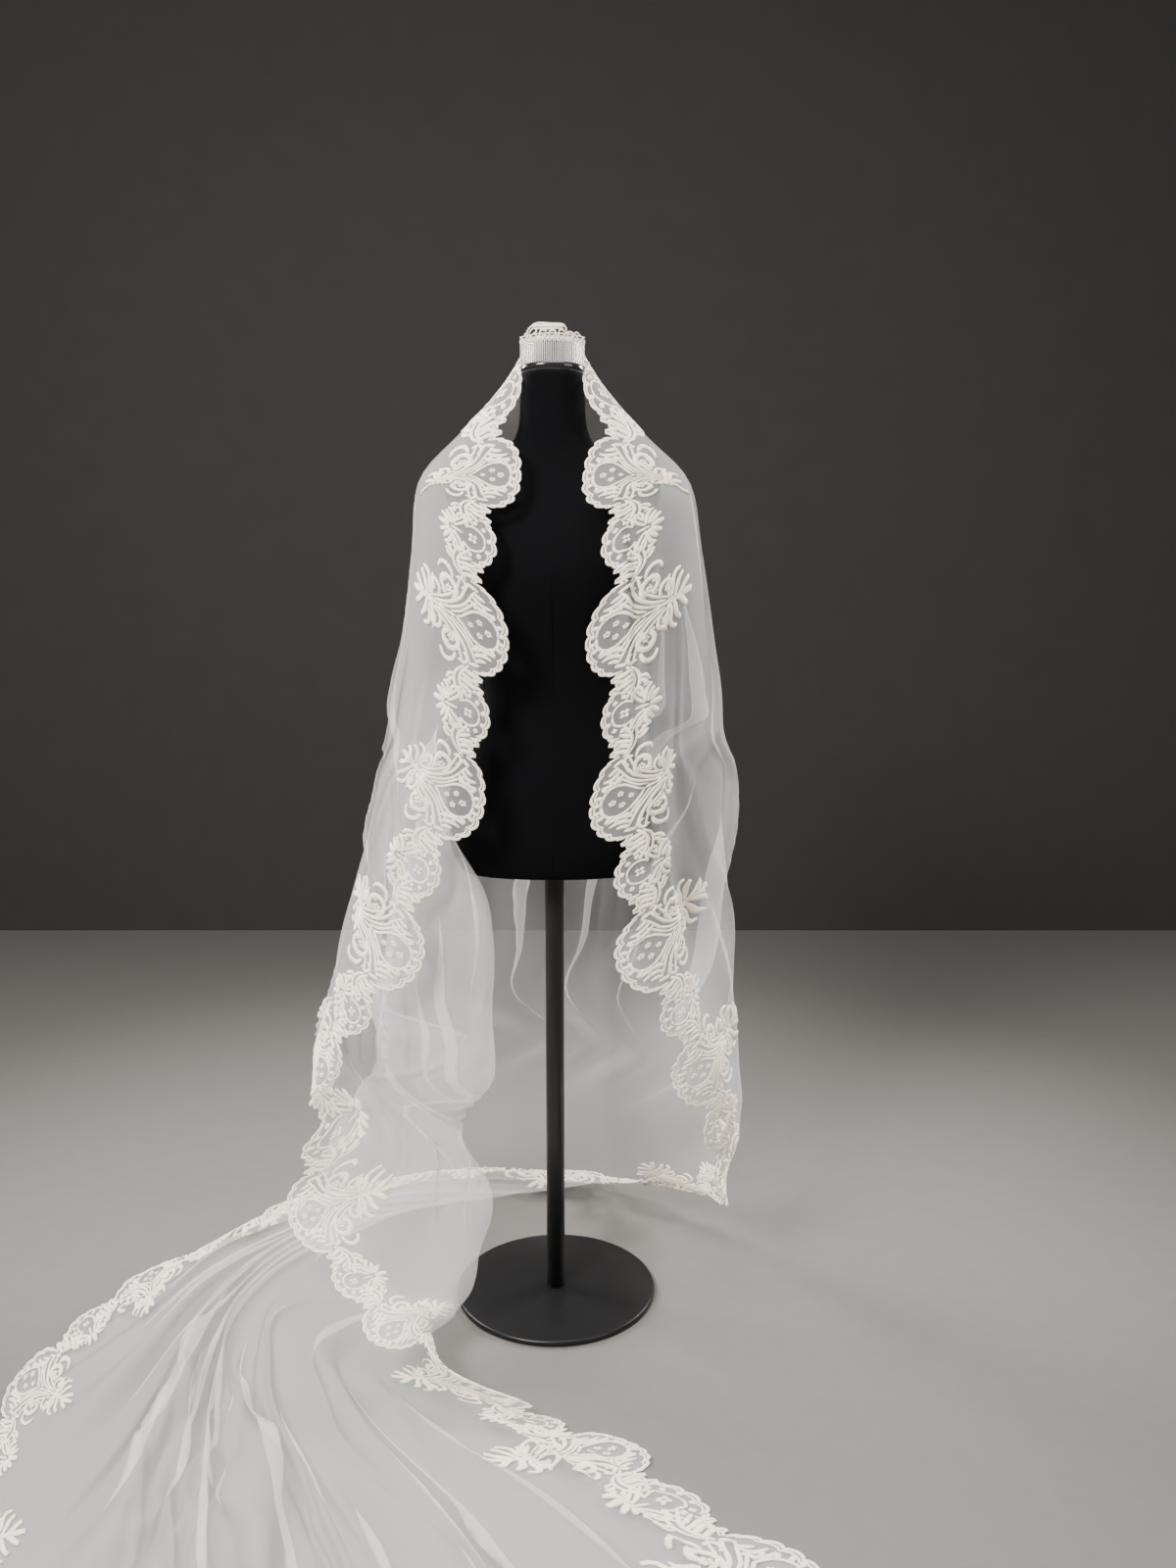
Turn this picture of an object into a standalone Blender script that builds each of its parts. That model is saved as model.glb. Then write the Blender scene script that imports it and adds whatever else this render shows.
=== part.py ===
"""Cathedral veil of tulle with a lace border, held by its comb on a black dress form.

World frame: the floor is Z = 0 and the form's axis is the Z axis. The veil opens towards -Y,
its left front edge is at -X, and its train lies on the floor towards -X and -Y.

The veil is worked out from its flat cut. A point of the flat cut (across, down) is measured from
the middle of the comb. `drop` is its distance from the comb and `share` its place across the
row of points that lie equally far from the comb, from -1 (left edge) to 1 (right edge).
All sizes are in metres.
"""
import math

import bpy
import numpy as np
from mathutils.geometry import delaunay_2d_cdt

SEAM_GAP = 0.0003

# ---------------------------------------------------------------- comb
COMB_HALF_WIDTH = 0.050
COMB_BOW = 0.018               # how far the middle stands forward of the ends
COMB_CROWN = 0.003             # how much the middle of the spine stands above its ends
COMB_THICKNESS = 0.0024
COMB_TEETH = 30
COMB_TIP_Z = 1.4983
COMB_SPINE_TOP_Z = 1.5370      # at the ends
COMB_SPINE_HEIGHT = 0.0055
TOOTH_SHARE = 0.52             # width of a tooth as a share of its pitch
TOOTH_TIP_SHARE = 0.55         # width of its tip as a share of its root's
COMB_END_MARGIN = 0.001        # plain spine beyond the last tooth
COMB_BACK = 0.004              # how far the comb's ends stand in front of the form's axis
# Lace over the spine: its lower edge, the rise between its scallops and their count.
STRIP_LOW = -0.0085
STRIP_RISE = 0.0035
STRIP_SCALLOPS = 7
# Upper edge of the lace on the comb, with the folded-up motif. Columns: across, height.
FLAP = (
    (0.035, 0.0055), (0.026, 0.0070), (0.024, 0.0160), (0.016, 0.0185), (0.004, 0.0180),
    (-0.010, 0.0195), (-0.026, 0.0205), (-0.036, 0.0185), (-0.042, 0.0140), (-0.043, 0.0060),
)
STRIP_RIGHT_TOP = 0.004
STRIP_LEFT_TOP = 0.003
# Gaps of the strip: places across, then half length, height of the middle, rise and fall.
STRIP_GAPS = (-0.036, -0.022, -0.007, 0.007, 0.022, 0.036)
STRIP_GAP_HALF = 0.0032
STRIP_GAP_MIDDLE = -0.0005
STRIP_GAP_RISE = 0.0025
VEIL_LIFT = 0.0008             # height of the tulle's top edge over the comb's spine

# ---------------------------------------------------------------- dress form
NECK_TOP_Z = COMB_TIP_Z - SEAM_GAP
NECK_CAP_BEVEL = 0.003
POLE_RADIUS = 0.015
BASE_RADIUS = 0.165
BASE_HEIGHT = 0.010
BASE_CHAMFER = 0.003
FORM_SIDES = 24
POLE_SIDES = 20
BASE_SIDES = 40
FORM_ROUNDNESS = 2.3           # exponent of the section's outline, 2 is an ellipse
# Sections of the torso. Columns: height, half width, depth in front, depth behind.
TORSO = (
    (0.720, 0.146, 0.088, 0.100),
    (0.740, 0.158, 0.097, 0.112),
    (0.800, 0.168, 0.104, 0.120),
    (0.880, 0.158, 0.100, 0.112),
    (0.990, 0.118, 0.086, 0.084),
    (1.080, 0.126, 0.098, 0.090),
    (1.160, 0.140, 0.120, 0.100),
    (1.210, 0.145, 0.117, 0.102),
    (1.270, 0.152, 0.092, 0.100),
    (1.305, 0.166, 0.072, 0.092),
    (1.330, 0.158, 0.058, 0.080),
    (1.352, 0.118, 0.050, 0.068),
    (1.372, 0.076, 0.046, 0.058),
    (1.395, 0.056, 0.045, 0.052),
    (1.430, 0.050, 0.045, 0.047),
    (1.485, 0.049, 0.046, 0.046),
)

# ---------------------------------------------------------------- flat cut of the veil
VEIL_LENGTH = 3.15             # from the comb to the end of the train
END_ROUNDING_FROM = 2.50       # drop at which the rounded end begins
END_SQUARENESS = 2.4           # exponent of the rounded end, 2 is an ellipse
# Half width of the cut along the row at each drop.
HALF_WIDTH = np.array((
    (0.00, COMB_HALF_WIDTH),
    (0.04, 0.100),
    (0.11, 0.205),
    (0.18, 0.340),
    (0.26, 0.480),
    (0.36, 0.575),
    (0.50, 0.670),
    (0.70, 0.800),
    (0.90, 0.870),
    (1.10, 0.895),
    (1.40, 0.870),
    (1.80, 0.830),
    (2.40, 0.800),
    (3.15, 0.785),
))

# ---------------------------------------------------------------- how the veil hangs
# Sections of the cape, open in front. Columns: drop; heights of front edges, sides and back;
# x of the left edge, left side, right side and right edge; y of the edges, sides and back.
CAPE = (
    (0.04, 1.503, 1.522, 1.544, -0.053, -0.050, 0.050, 0.054, -0.008, 0.014, 0.018),
    (0.11, 1.430, 1.470, 1.515, -0.057, -0.085, 0.085, 0.061, -0.040, 0.012, 0.065),
    (0.18, 1.365, 1.400, 1.450, -0.052, -0.145, 0.145, 0.060, -0.082, 0.008, 0.090),
    (0.26, 1.295, 1.333, 1.375, -0.042, -0.200, 0.206, 0.042, -0.118, 0.005, 0.112),
    (0.36, 1.195, 1.230, 1.275, -0.055, -0.215, 0.228, 0.050, -0.150, 0.010, 0.135),
    (0.50, 1.055, 1.085, 1.135, -0.060, -0.235, 0.248, 0.050, -0.158, 0.015, 0.155),
    (0.60, 0.958, 0.982, 1.035, -0.068, -0.255, 0.258, 0.052, -0.160, 0.018, 0.163),
    (0.70, 0.862, 0.880, 0.935, -0.090, -0.276, 0.268, 0.054, -0.162, 0.020, 0.170),
    (0.88, 0.690, 0.700, 0.745, -0.155, -0.316, 0.282, 0.072, -0.168, 0.020, 0.185),
    (1.05, 0.530, 0.530, 0.570, -0.235, -0.358, 0.292, 0.125, -0.168, 0.020, 0.205),
    (1.18, 0.425, 0.400, 0.440, -0.325, -0.392, 0.300, 0.178, -0.135, 0.020, 0.225),
)
# The two deep pleats of the cape. Columns: drop; how far the left one is open, x and y of its
# inner fold; how far the right one is open, x and y of its outer fold, x and y of its valley.
PLEATS = np.array((
    (0.36, 0.00, -0.100, -0.130, 0.00, 0.168, -0.125, 0.155, -0.075),
    (0.50, 0.00, -0.115, -0.130, 0.25, 0.168, -0.130, 0.160, -0.080),
    (0.60, 0.10, -0.113, -0.131, 0.50, 0.169, -0.131, 0.162, -0.078),
    (0.70, 0.60, -0.106, -0.134, 0.65, 0.170, -0.132, 0.162, -0.075),
    (0.88, 1.00, -0.092, -0.136, 0.65, 0.172, -0.130, 0.166, -0.072),
    (1.05, 1.00, -0.090, -0.138, 0.40, 0.190, -0.125, 0.185, -0.070),
    (1.18, 1.00, -0.090, -0.142, 0.12, 0.215, -0.110, 0.215, -0.060),
))
# The two sides of the left pleat's inner fold, measured from the fold.
FOLD_FRONT = np.array((-0.012, -0.018, 0.0))
FOLD_BACK = np.array((-0.002, 0.020, 0.0))
# Lower sections, where the veil swings round to the left and forward over the floor.
# Columns: drop, then (x, y, z) of left edge, before the inner fold, the fold's front, the fold's
# back, after the fold, left side, left back, middle, right side and right edge.
SWEEP = (
    (1.34, (-0.445, -0.045, 0.235), (-0.275, -0.115, 0.240), (-0.108, -0.162, 0.245),
     (-0.098, -0.120, 0.246), (-0.235, -0.020, 0.250), (-0.385, 0.065, 0.250),
     (-0.260, 0.205, 0.265), (-0.060, 0.245, 0.275), (0.300, 0.060, 0.255),
     (0.232, -0.095, 0.262)),
    (1.50, (-0.372, -0.172, 0.137), (-0.250, -0.188, 0.130), (-0.137, -0.186, 0.118),
     (-0.118, -0.149, 0.108), (-0.240, -0.025, 0.100), (-0.402, 0.060, 0.098),
     (-0.303, 0.205, 0.120), (-0.120, 0.252, 0.140), (0.220, 0.165, 0.165),
     (0.295, 0.020, 0.120)),
    (1.64, (-0.268, -0.290, 0.098), (-0.209, -0.250, 0.098), (-0.156, -0.209, 0.082),
     (-0.156, -0.168, 0.052), (-0.262, -0.070, 0.012), (-0.418, 0.032, 0.012),
     (-0.362, 0.170, 0.018), (-0.190, 0.262, 0.040), (0.100, 0.250, 0.090),
     (0.265, 0.160, 0.085)),
    (1.74, (-0.196, -0.306, 0.076), (-0.176, -0.266, 0.075), (-0.180, -0.224, 0.052),
     (-0.212, -0.190, 0.022), (-0.305, -0.122, 0.003), (-0.440, -0.010, 0.002),
     (-0.400, 0.135, 0.004), (-0.272, 0.250, 0.016), (0.020, 0.277, 0.050),
     (0.200, 0.270, 0.050)),
    (1.85, (-0.118, -0.320, 0.050), (-0.147, -0.291, 0.048), (-0.190, -0.256, 0.025),
     (-0.244, -0.238, 0.005), (-0.340, -0.198, 0.000), (-0.462, -0.083, 0.000),
     (-0.452, 0.074, 0.000), (-0.362, 0.222, 0.003), (-0.070, 0.306, 0.018),
     (0.110, 0.372, 0.028)),
    (1.95, (-0.026, -0.326, 0.020), (-0.092, -0.324, 0.022), (-0.182, -0.308, 0.008),
     (-0.254, -0.300, 0.001), (-0.345, -0.264, 0.000), (-0.470, -0.145, 0.000),
     (-0.490, 0.030, 0.000), (-0.428, 0.204, 0.000), (-0.196, 0.336, 0.009),
     (-0.018, 0.412, 0.014)),
    (2.05, (0.035, -0.338, 0.003), (-0.060, -0.358, 0.003), (-0.173, -0.370, 0.001),
     (-0.262, -0.363, 0.000), (-0.352, -0.332, 0.000), (-0.476, -0.210, 0.000),
     (-0.514, -0.022, 0.000), (-0.478, 0.162, 0.000), (-0.306, 0.342, 0.002),
     (-0.145, 0.440, 0.004)),
    (2.25, (0.160, -0.420, 0.000), (0.050, -0.480, 0.000), (-0.095, -0.520, 0.000),
     (-0.195, -0.515, 0.000), (-0.298, -0.478, 0.000), (-0.435, -0.350, 0.000),
     (-0.525, -0.180, 0.000), (-0.545, 0.010, 0.000), (-0.475, 0.220, 0.000),
     (-0.335, 0.400, 0.000)),
    (2.45, (0.320, -0.590, 0.000), (0.185, -0.660, 0.000), (0.005, -0.695, 0.000),
     (-0.105, -0.690, 0.000), (-0.210, -0.655, 0.000), (-0.390, -0.530, 0.000),
     (-0.510, -0.360, 0.000), (-0.575, -0.160, 0.000), (-0.595, 0.085, 0.000),
     (-0.515, 0.305, 0.000)),
    (2.65, (0.400, -0.770, 0.000), (0.265, -0.830, 0.000), (0.080, -0.860, 0.000),
     (-0.030, -0.855, 0.000), (-0.140, -0.826, 0.000), (-0.330, -0.720, 0.000),
     (-0.485, -0.550, 0.000), (-0.590, -0.340, 0.000), (-0.665, -0.080, 0.000),
     (-0.650, 0.145, 0.000)),
    (2.85, (0.430, -0.930, 0.000), (0.290, -0.985, 0.000), (0.100, -1.010, 0.000),
     (-0.010, -1.005, 0.000), (-0.120, -0.976, 0.000), (-0.320, -0.870, 0.000),
     (-0.490, -0.700, 0.000), (-0.620, -0.500, 0.000), (-0.740, -0.230, 0.000),
     (-0.800, 0.000, 0.000)),
    (3.15, (0.450, -1.150, 0.000), (0.320, -1.220, 0.000), (0.130, -1.270, 0.000),
     (0.015, -1.265, 0.000), (-0.100, -1.236, 0.000), (-0.320, -1.140, 0.000),
     (-0.520, -0.980, 0.000), (-0.680, -0.770, 0.000), (-0.840, -0.460, 0.000),
     (-0.920, -0.200, 0.000)),
)
# Folds that stand out of the cape and ridges on the train. Columns: share of the row at the
# fold's crest where it starts and ends, half width (share), height, drop where it starts, is
# full, begins to fade and ends.
FOLDS = (
    (0.04, 0.04, 0.070, 0.018, 0.30, 0.75, 1.10, 1.40),
    (0.21, 0.22, 0.070, 0.024, 0.28, 0.80, 1.15, 1.45),
    (0.38, 0.40, 0.070, 0.022, 0.30, 0.80, 1.15, 1.45),
    (0.54, 0.56, 0.065, 0.016, 0.32, 0.75, 1.10, 1.40),
    (-0.50, -0.46, 0.100, 0.034, 2.05, 2.30, 2.70, 3.10),
    (-0.14, -0.14, 0.100, 0.036, 2.00, 2.30, 2.60, 3.05),
    (0.22, 0.24, 0.100, 0.034, 2.10, 2.35, 2.70, 3.10),
    (0.56, 0.56, 0.090, 0.026, 2.20, 2.45, 2.60, 3.00),
)

# ---------------------------------------------------------------- walls and lace
CLOTH_THICKNESS = 0.0014
SHARPEST_CORNER = 0.35         # least share of the ease that a sharp corner keeps
CLOTH_EASE = 0.00022           # how far each piece of cloth stands back from a seam
CLOSE_STEP = 0.027             # spacing of the points of a wall in its tightest folds
SHARP_BEND = 0.0070            # rise over two close steps from which a fold is tight
SOFT_BEND = 0.0085             # rise over four close steps from which the cloth counts as bent
SEAM_BEND_LIMIT = 0.0050       # rise of the cloth over a seam's step from which it is halved
SHORTEST_SEAM_STEP = 0.014
LACE_REPEAT = 0.288            # aimed length of one repeat along the edge
VALLEY_INSET = 0.047           # how far the edge between motifs lies inside the motifs' tips
SCALLOP_RISE = 0.0045
LARGE_SCALLOPS = 3             # on each side of the scallop at the large motif's tip
LARGE_SHARE = 0.50             # half width of the large motif as a share of the half repeat
SMALL_SCALLOPS = 1
SMALL_SHARE = 0.26
SMALL_RISE = 0.020             # how far the small motif stands out of the edge between motifs
# Tips of the leaves between the motifs: place along (share), distance in from the edge.
LEAF_TIPS = [(0.57, 0.039), (0.64, 0.046), (0.70, 0.037)]
# Seam of the lace over one half repeat, from the middle of the large motif to the middle of
# the small one. Columns: place along the half repeat (share), distance in from the edge.
SEAM = (
    (0.00, 0.190),
    (0.24, 0.152),
    (0.44, 0.116),
    (0.62, 0.084),
    (1.00, 0.123),
)
# Gaps cut through each half repeat. Columns: place along (share), distance in, half length,
# half width, slant in degrees (0 lies along the edge).
GAPS = (
    (0.00, 0.034, 0.017, 0.0085, 90),
    (0.28, 0.049, 0.014, 0.0050, 55),
    (0.30, 0.092, 0.014, 0.0065, -35),
    (0.80, 0.081, 0.011, 0.0055, 30),
    (1.00, 0.060, 0.012, 0.0070, 90),
)

# Lengths of lace joined end to end, from the left end of the comb round to its right end, and
# the shares of the edge where they are joined.
LACE_NAMES = ("lace_left_front", "lace_left_train", "lace_train_end", "lace_right_train",
              "lace_right_front")
LACE_JOINS = (0.20, 0.39, 0.61, 0.80)
COMB_FAN = 0.15                # length of edge over which the lace turns to run across the comb's end
COMB_END_POINTS = 5
COMB_CLEAR = 0.008             # how far the lace begins from the comb's ends
COMB_COLUMNS = 9               # points of the tulle along the comb

ROUNDING = 5                   # how often each row is evened to round its tightest turns
COLUMNS = 241                  # points across each row of the lattice that holds the drape
DROP_STEP = 0.015
SHARP_EDGE = 50                # degrees from which an edge is shaded sharp


# ---------------------------------------------------------------- curves
def natural_spline(knots, points, at):
    """Natural cubic through points (one per knot), read at the values `at`."""
    count = len(knots)
    step = np.diff(knots)
    slope = np.diff(points, axis=0) / step[:, None]
    system = np.eye(count)
    load = np.zeros_like(points)
    for i in range(1, count - 1):
        system[i, i - 1:i + 2] = step[i - 1], 2 * (step[i - 1] + step[i]), step[i]
        load[i] = 6 * (slope[i] - slope[i - 1])
    bend = np.linalg.solve(system, load)
    i = np.clip(np.searchsorted(knots, at, side="right") - 1, 0, count - 2)
    t = (at - knots[i])[:, None]
    h = step[i][:, None]
    start = slope[i] - h * (2 * bend[i] + bend[i + 1]) / 6
    return points[i] + t * start + t ** 2 * bend[i] / 2 + t ** 3 * (bend[i + 1] - bend[i]) / (6 * h)


def evenly(points, count):
    """The same curve with `count` points at equal distances."""
    run = np.concatenate(([0.0], np.cumsum(np.linalg.norm(np.diff(points, axis=0), axis=1))))
    at = np.linspace(0.0, run[-1], count)
    return np.stack([np.interp(at, run, column) for column in points.T], axis=1)


def through(anchors):
    """Smooth curve close to a few anchors, with COLUMNS even points."""
    anchors = np.array(anchors, float)
    knots = np.concatenate(([0.0], np.cumsum(np.linalg.norm(np.diff(anchors, axis=0), axis=1) ** 0.5)))
    dense = natural_spline(knots, anchors, np.linspace(0.0, knots[-1], 3 * COLUMNS))
    curve = evenly(dense, COLUMNS)
    for _ in range(ROUNDING):
        curve[1:-1] = (curve[:-2] + 2 * curve[1:-1] + curve[2:]) / 4
    return evenly(curve, COLUMNS)


def along_drop(knots, rows, at):
    """Rows blended smoothly from one section to the next."""
    step = np.diff(knots)
    slope = np.diff(rows, axis=0) / step[:, None, None]
    before = step[:-1, None, None]
    after = step[1:, None, None]
    inner = (after * slope[:-1] + before * slope[1:]) / (after + before)
    tangent = np.concatenate((slope[:1], inner, slope[-1:]))
    i = np.clip(np.searchsorted(knots, at, side="right") - 1, 0, len(knots) - 2)
    h = step[i][:, None, None]
    t = ((at - knots[i]) / step[i])[:, None, None]
    ahead = t * t * (3 - 2 * t)
    return (rows[i] * (1 - ahead) + rows[i + 1] * ahead
            + h * t * (1 - t) * ((1 - t) * tangent[i] - t * tangent[i + 1]))


def ramp(value, start, full):
    """Smooth step from 0 at `start` to 1 at `full`."""
    t = np.clip((value - start) / (full - start), 0.0, 1.0)
    return t * t * (3 - 2 * t)


# ---------------------------------------------------------------- drape
def comb_line(x):
    """Point on the middle of the comb's top edge at a place across it."""
    out = (x / COMB_HALF_WIDTH) ** 2
    return np.array((x, -COMB_BOW * (1 - out) - COMB_BACK, COMB_SPINE_TOP_Z + COMB_CROWN * (1 - out)))


def blend(plain, pleated, share):
    return plain * (1 - share) + pleated * share


def cape_section(row, pleat):
    """Anchors of one section of the cape, from the left front edge round the back to the right."""
    _, z_front, z_side, z_back, x_l_edge, x_l, x_r, x_r_edge, y_edge, y_side, y_back = row
    _, left_open, fold_x, fold_y, right_open, ridge_x, ridge_y, valley_x, valley_y = pleat

    def ring(side, degrees):
        """Plain section: 90 at the front edge, 0 at the side, -90 in the middle of the back."""
        turn = math.radians(degrees)
        x_side, x_edge = (x_l, x_l_edge) if side < 0 else (x_r, x_r_edge)
        x_end, y_end, z_end = x_edge, y_edge, z_front
        if degrees < 0:
            x_end, y_end, z_end = (x_l + x_r) / 2, y_back, z_back
        across = math.cos(turn)
        forward = abs(math.sin(turn))
        return np.array((x_end + (x_side - x_end) * across,
                         y_side + (y_end - y_side) * forward,
                         z_side + (z_end - z_side) * forward ** 2))

    fold = np.array((fold_x, fold_y, blend(z_side, z_front, 0.6)))
    turn = ring(-1, -12)
    before_fold = blend(turn, fold, 0.5) + np.array((-0.022, -0.040, 0.0))
    after_fold = blend(ring(-1, -40), fold, 0.5) + np.array((-0.034, -0.016, 0.0))
    ridge = np.array((ridge_x, ridge_y, z_front))
    valley = np.array((valley_x, valley_y, z_front))
    before_valley = blend(ring(1, 8), valley, 0.5)
    return (
        ring(-1, 90), ring(-1, 66), ring(-1, 44), ring(-1, 24),
        blend(ring(-1, 12), ring(-1, 4), left_open),
        blend(ring(-1, 3), turn, left_open),
        blend(ring(-1, -5), before_fold, left_open),
        blend(ring(-1, -12), fold + FOLD_FRONT, left_open),
        blend(ring(-1, -17), fold + FOLD_BACK, left_open),
        blend(ring(-1, -26), after_fold, left_open),
        ring(-1, -40), ring(-1, -58), ring(-1, -76),
        ring(1, -90), ring(1, -60), ring(1, -30), ring(1, 0),
        blend(ring(1, 20), before_valley, right_open),
        blend(ring(1, 38), valley, right_open),
        blend(ring(1, 56), ridge, right_open),
        ring(1, 76), ring(1, 90),
    )


def sections():
    """Drops and rows of the veil's sections, from the comb down to the end of the train."""
    lift = np.array((0.0, 0.0, VEIL_LIFT))
    drops = [0.0]
    rows = [through([comb_line(x) + lift for x in np.linspace(-1, 1, 7) * COMB_HALF_WIDTH])]
    for row in CAPE:
        pleat = [np.interp(row[0], PLEATS[:, 0], column) for column in PLEATS.T]
        drops.append(row[0])
        rows.append(through(cape_section(row, pleat)))
    for row in SWEEP:
        drops.append(row[0])
        rows.append(through(row[1:]))
    return np.array(drops), np.array(rows)


def outward(lattice):
    """Unit normals of the lattice, pointing to the right side of the cloth."""
    across = np.gradient(lattice, axis=1)
    down = np.gradient(lattice, axis=0)
    normal = np.cross(across, down)
    return normal / np.maximum(np.linalg.norm(normal, axis=2, keepdims=True), 1e-12)


def drape_lattice():
    """Points and normals of the hanging veil, by drop (rows) and share (columns)."""
    drops = np.arange(0.0, VEIL_LENGTH + DROP_STEP / 2, DROP_STEP)
    lattice = along_drop(*sections(), drops)
    lattice = np.array([evenly(row, COLUMNS) for row in lattice])
    share = np.linspace(-1.0, 1.0, COLUMNS)[None, :]
    height = np.zeros(lattice.shape[:2])
    for at_start, at_end, half_width, rise, start, full, fading, end in FOLDS:
        middle = at_start + (at_end - at_start) * (drops[:, None] - start) / (end - start)
        strength = ramp(drops, start, full) * (1 - ramp(drops, fading, end))
        near = np.clip(np.abs(share - middle) / half_width, 0.0, 1.0)
        height += rise * strength[:, None] * np.cos(near * math.pi / 2) ** 2
    lattice = lattice + outward(lattice) * height[:, :, None]
    lattice[:, :, 2] = np.maximum(lattice[:, :, 2], 0.0)
    return drops, lattice, outward(lattice)


DROPS, LATTICE, NORMALS = drape_lattice()


def half_width(drop):
    return np.interp(drop, HALF_WIDTH[:, 0], HALF_WIDTH[:, 1])


def drape(across, down):
    """World point and outward normal of a point of the flat cut."""
    side = max(abs(across) - COMB_HALF_WIDTH, 0.0)
    drop = math.hypot(side, down)
    reach = abs(across) if side == 0 else COMB_HALF_WIDTH + drop * math.atan2(side, down)
    share = math.copysign(min(reach / half_width(drop), 1.0), across)
    row = min(drop, VEIL_LENGTH) / DROP_STEP
    column = (share + 1) / 2 * (COLUMNS - 1)
    r = min(int(row), len(DROPS) - 2)
    c = min(int(column), COLUMNS - 2)
    u = row - r
    v = column - c
    corners = ((r, c, (1 - u) * (1 - v)), (r, c + 1, (1 - u) * v),
               (r + 1, c, u * (1 - v)), (r + 1, c + 1, u * v))
    point = sum(LATTICE[i, j] * weight for i, j, weight in corners)
    normal = sum(NORMALS[i, j] * weight for i, j, weight in corners)
    return point, normal / np.linalg.norm(normal)


# ---------------------------------------------------------------- flat cut
def cut_edge():
    """Outline of the flat cut from the left end of the comb round the train to its right end."""
    drops = np.concatenate((np.linspace(0.0, END_ROUNDING_FROM, 160),
                            VEIL_LENGTH - (VEIL_LENGTH - END_ROUNDING_FROM)
                            * np.linspace(1.0, 0.0, 120)[1:] ** 2))
    left = []
    for drop in drops:
        ended = max(drop - END_ROUNDING_FROM, 0.0) / (VEIL_LENGTH - END_ROUNDING_FROM)
        reach = half_width(drop) * max(1 - ended ** END_SQUARENESS, 0.0) ** (1 / END_SQUARENESS)
        turn = (reach - COMB_HALF_WIDTH) / drop if drop > 0 and reach > COMB_HALF_WIDTH else 0.0
        side = COMB_HALF_WIDTH + drop * math.sin(turn) if reach >= COMB_HALF_WIDTH else reach
        left.append((-side, drop * math.cos(turn)))
    right = [(-x, y) for x, y in left[-2::-1]]
    return np.array(left + right)


class CutEdge:
    """The outline measured by distance along it, with the direction towards the inside."""

    def __init__(self):
        outline = cut_edge()
        run = np.concatenate(([0.0], np.cumsum(np.linalg.norm(np.diff(outline, axis=0), axis=1))))
        self.length = run[-1]
        self.at = np.linspace(0.0, self.length, 1200)
        self.points = np.stack([np.interp(self.at, run, column) for column in outline.T], axis=1)
        window = np.hanning(41)
        window /= window.sum()
        heading = np.gradient(self.points, axis=0)
        padded = np.pad(heading, ((20, 20), (0, 0)), mode="edge")
        smooth = np.stack([np.convolve(column, window, mode="valid") for column in padded.T], axis=1)
        smooth /= np.linalg.norm(smooth, axis=1, keepdims=True)
        inward = np.stack((smooth[:, 1], -smooth[:, 0]), axis=1)
        from_comb = np.minimum(self.at, self.length - self.at)
        inward += (1 - ramp(from_comb, 0.0, COMB_FAN))[:, None] * (np.array((0.0, 1.0)) - inward)
        self.inward = inward / np.linalg.norm(inward, axis=1, keepdims=True)

    def cut_point(self, along, inset):
        point = [np.interp(along, self.at, column) for column in self.points.T]
        inward = [np.interp(along, self.at, column) for column in self.inward.T]
        return point[0] + inset * inward[0], point[1] + inset * inward[1]


EDGE = CutEdge()
REPEATS = round((EDGE.length + 2 * COMB_HALF_WIDTH) / LACE_REPEAT)
HALF_REPEAT = (EDGE.length + 2 * COMB_HALF_WIDTH) / REPEATS / 2
HALVES = 2 * REPEATS


def place_in_half(half, share):
    """Distance along the edge of a place in a half repeat; odd halves run from small to large."""
    if half % 2:
        share = 1 - share
    return (half + share) * HALF_REPEAT - COMB_HALF_WIDTH


def motif_tip(half):
    """(along, inset) of the outermost point of the motif at the start of a half repeat."""
    inset = VALLEY_INSET - SMALL_RISE - SCALLOP_RISE if half % 2 else 0.0
    return half * HALF_REPEAT - COMB_HALF_WIDTH, inset


def scalloped(half):
    """(along, inset) of the outer edge of one half repeat, without the motifs' tips."""
    points = []
    for scallop in range(LARGE_SCALLOPS):
        for part, rise in ((0.0, 0.0), (0.5, 1.0)):
            turn = math.radians((scallop + part + 0.5) * 90 / (LARGE_SCALLOPS + 0.5))
            points.append((LARGE_SHARE * math.sin(turn),
                           SCALLOP_RISE * (1 - rise) + (VALLEY_INSET - SCALLOP_RISE) * (1 - math.cos(turn))))
    points.append((LARGE_SHARE, VALLEY_INSET))
    points += LEAF_TIPS
    for step in range(2 * SMALL_SCALLOPS + 1):
        turn = math.radians(90 - step * 90 / (2 * SMALL_SCALLOPS + 1))
        points.append((1.0 - SMALL_SHARE * math.sin(turn),
                       VALLEY_INSET - SMALL_RISE * math.cos(turn) - (step % 2) * SCALLOP_RISE))
    if half % 2:
        points.reverse()
    return [(place_in_half(half, share), inset) for share, inset in points]


def seam(half):
    """(along, inset) of the lace's seam over one half repeat, without its far end."""
    points = SEAM[:-1] if half % 2 == 0 else SEAM[:0:-1]
    return [(place_in_half(half, share), inset) for share, inset in points]


def gap_outline(along, inset, half_length, half_wide, slant):
    """Corners of one lens-shaped gap of the lace, in the flat cut."""
    turn = math.radians(slant)
    corners = []
    for lengthwise, sideways in ((1, 0), (0.1, 1), (-1, 0), (-0.1, -1)):
        x = lengthwise * half_length
        y = sideways * half_wide
        corners.append(EDGE.cut_point(along + x * math.cos(turn) - y * math.sin(turn),
                                      inset + x * math.sin(turn) + y * math.cos(turn)))
    return np.array(corners)


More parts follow.
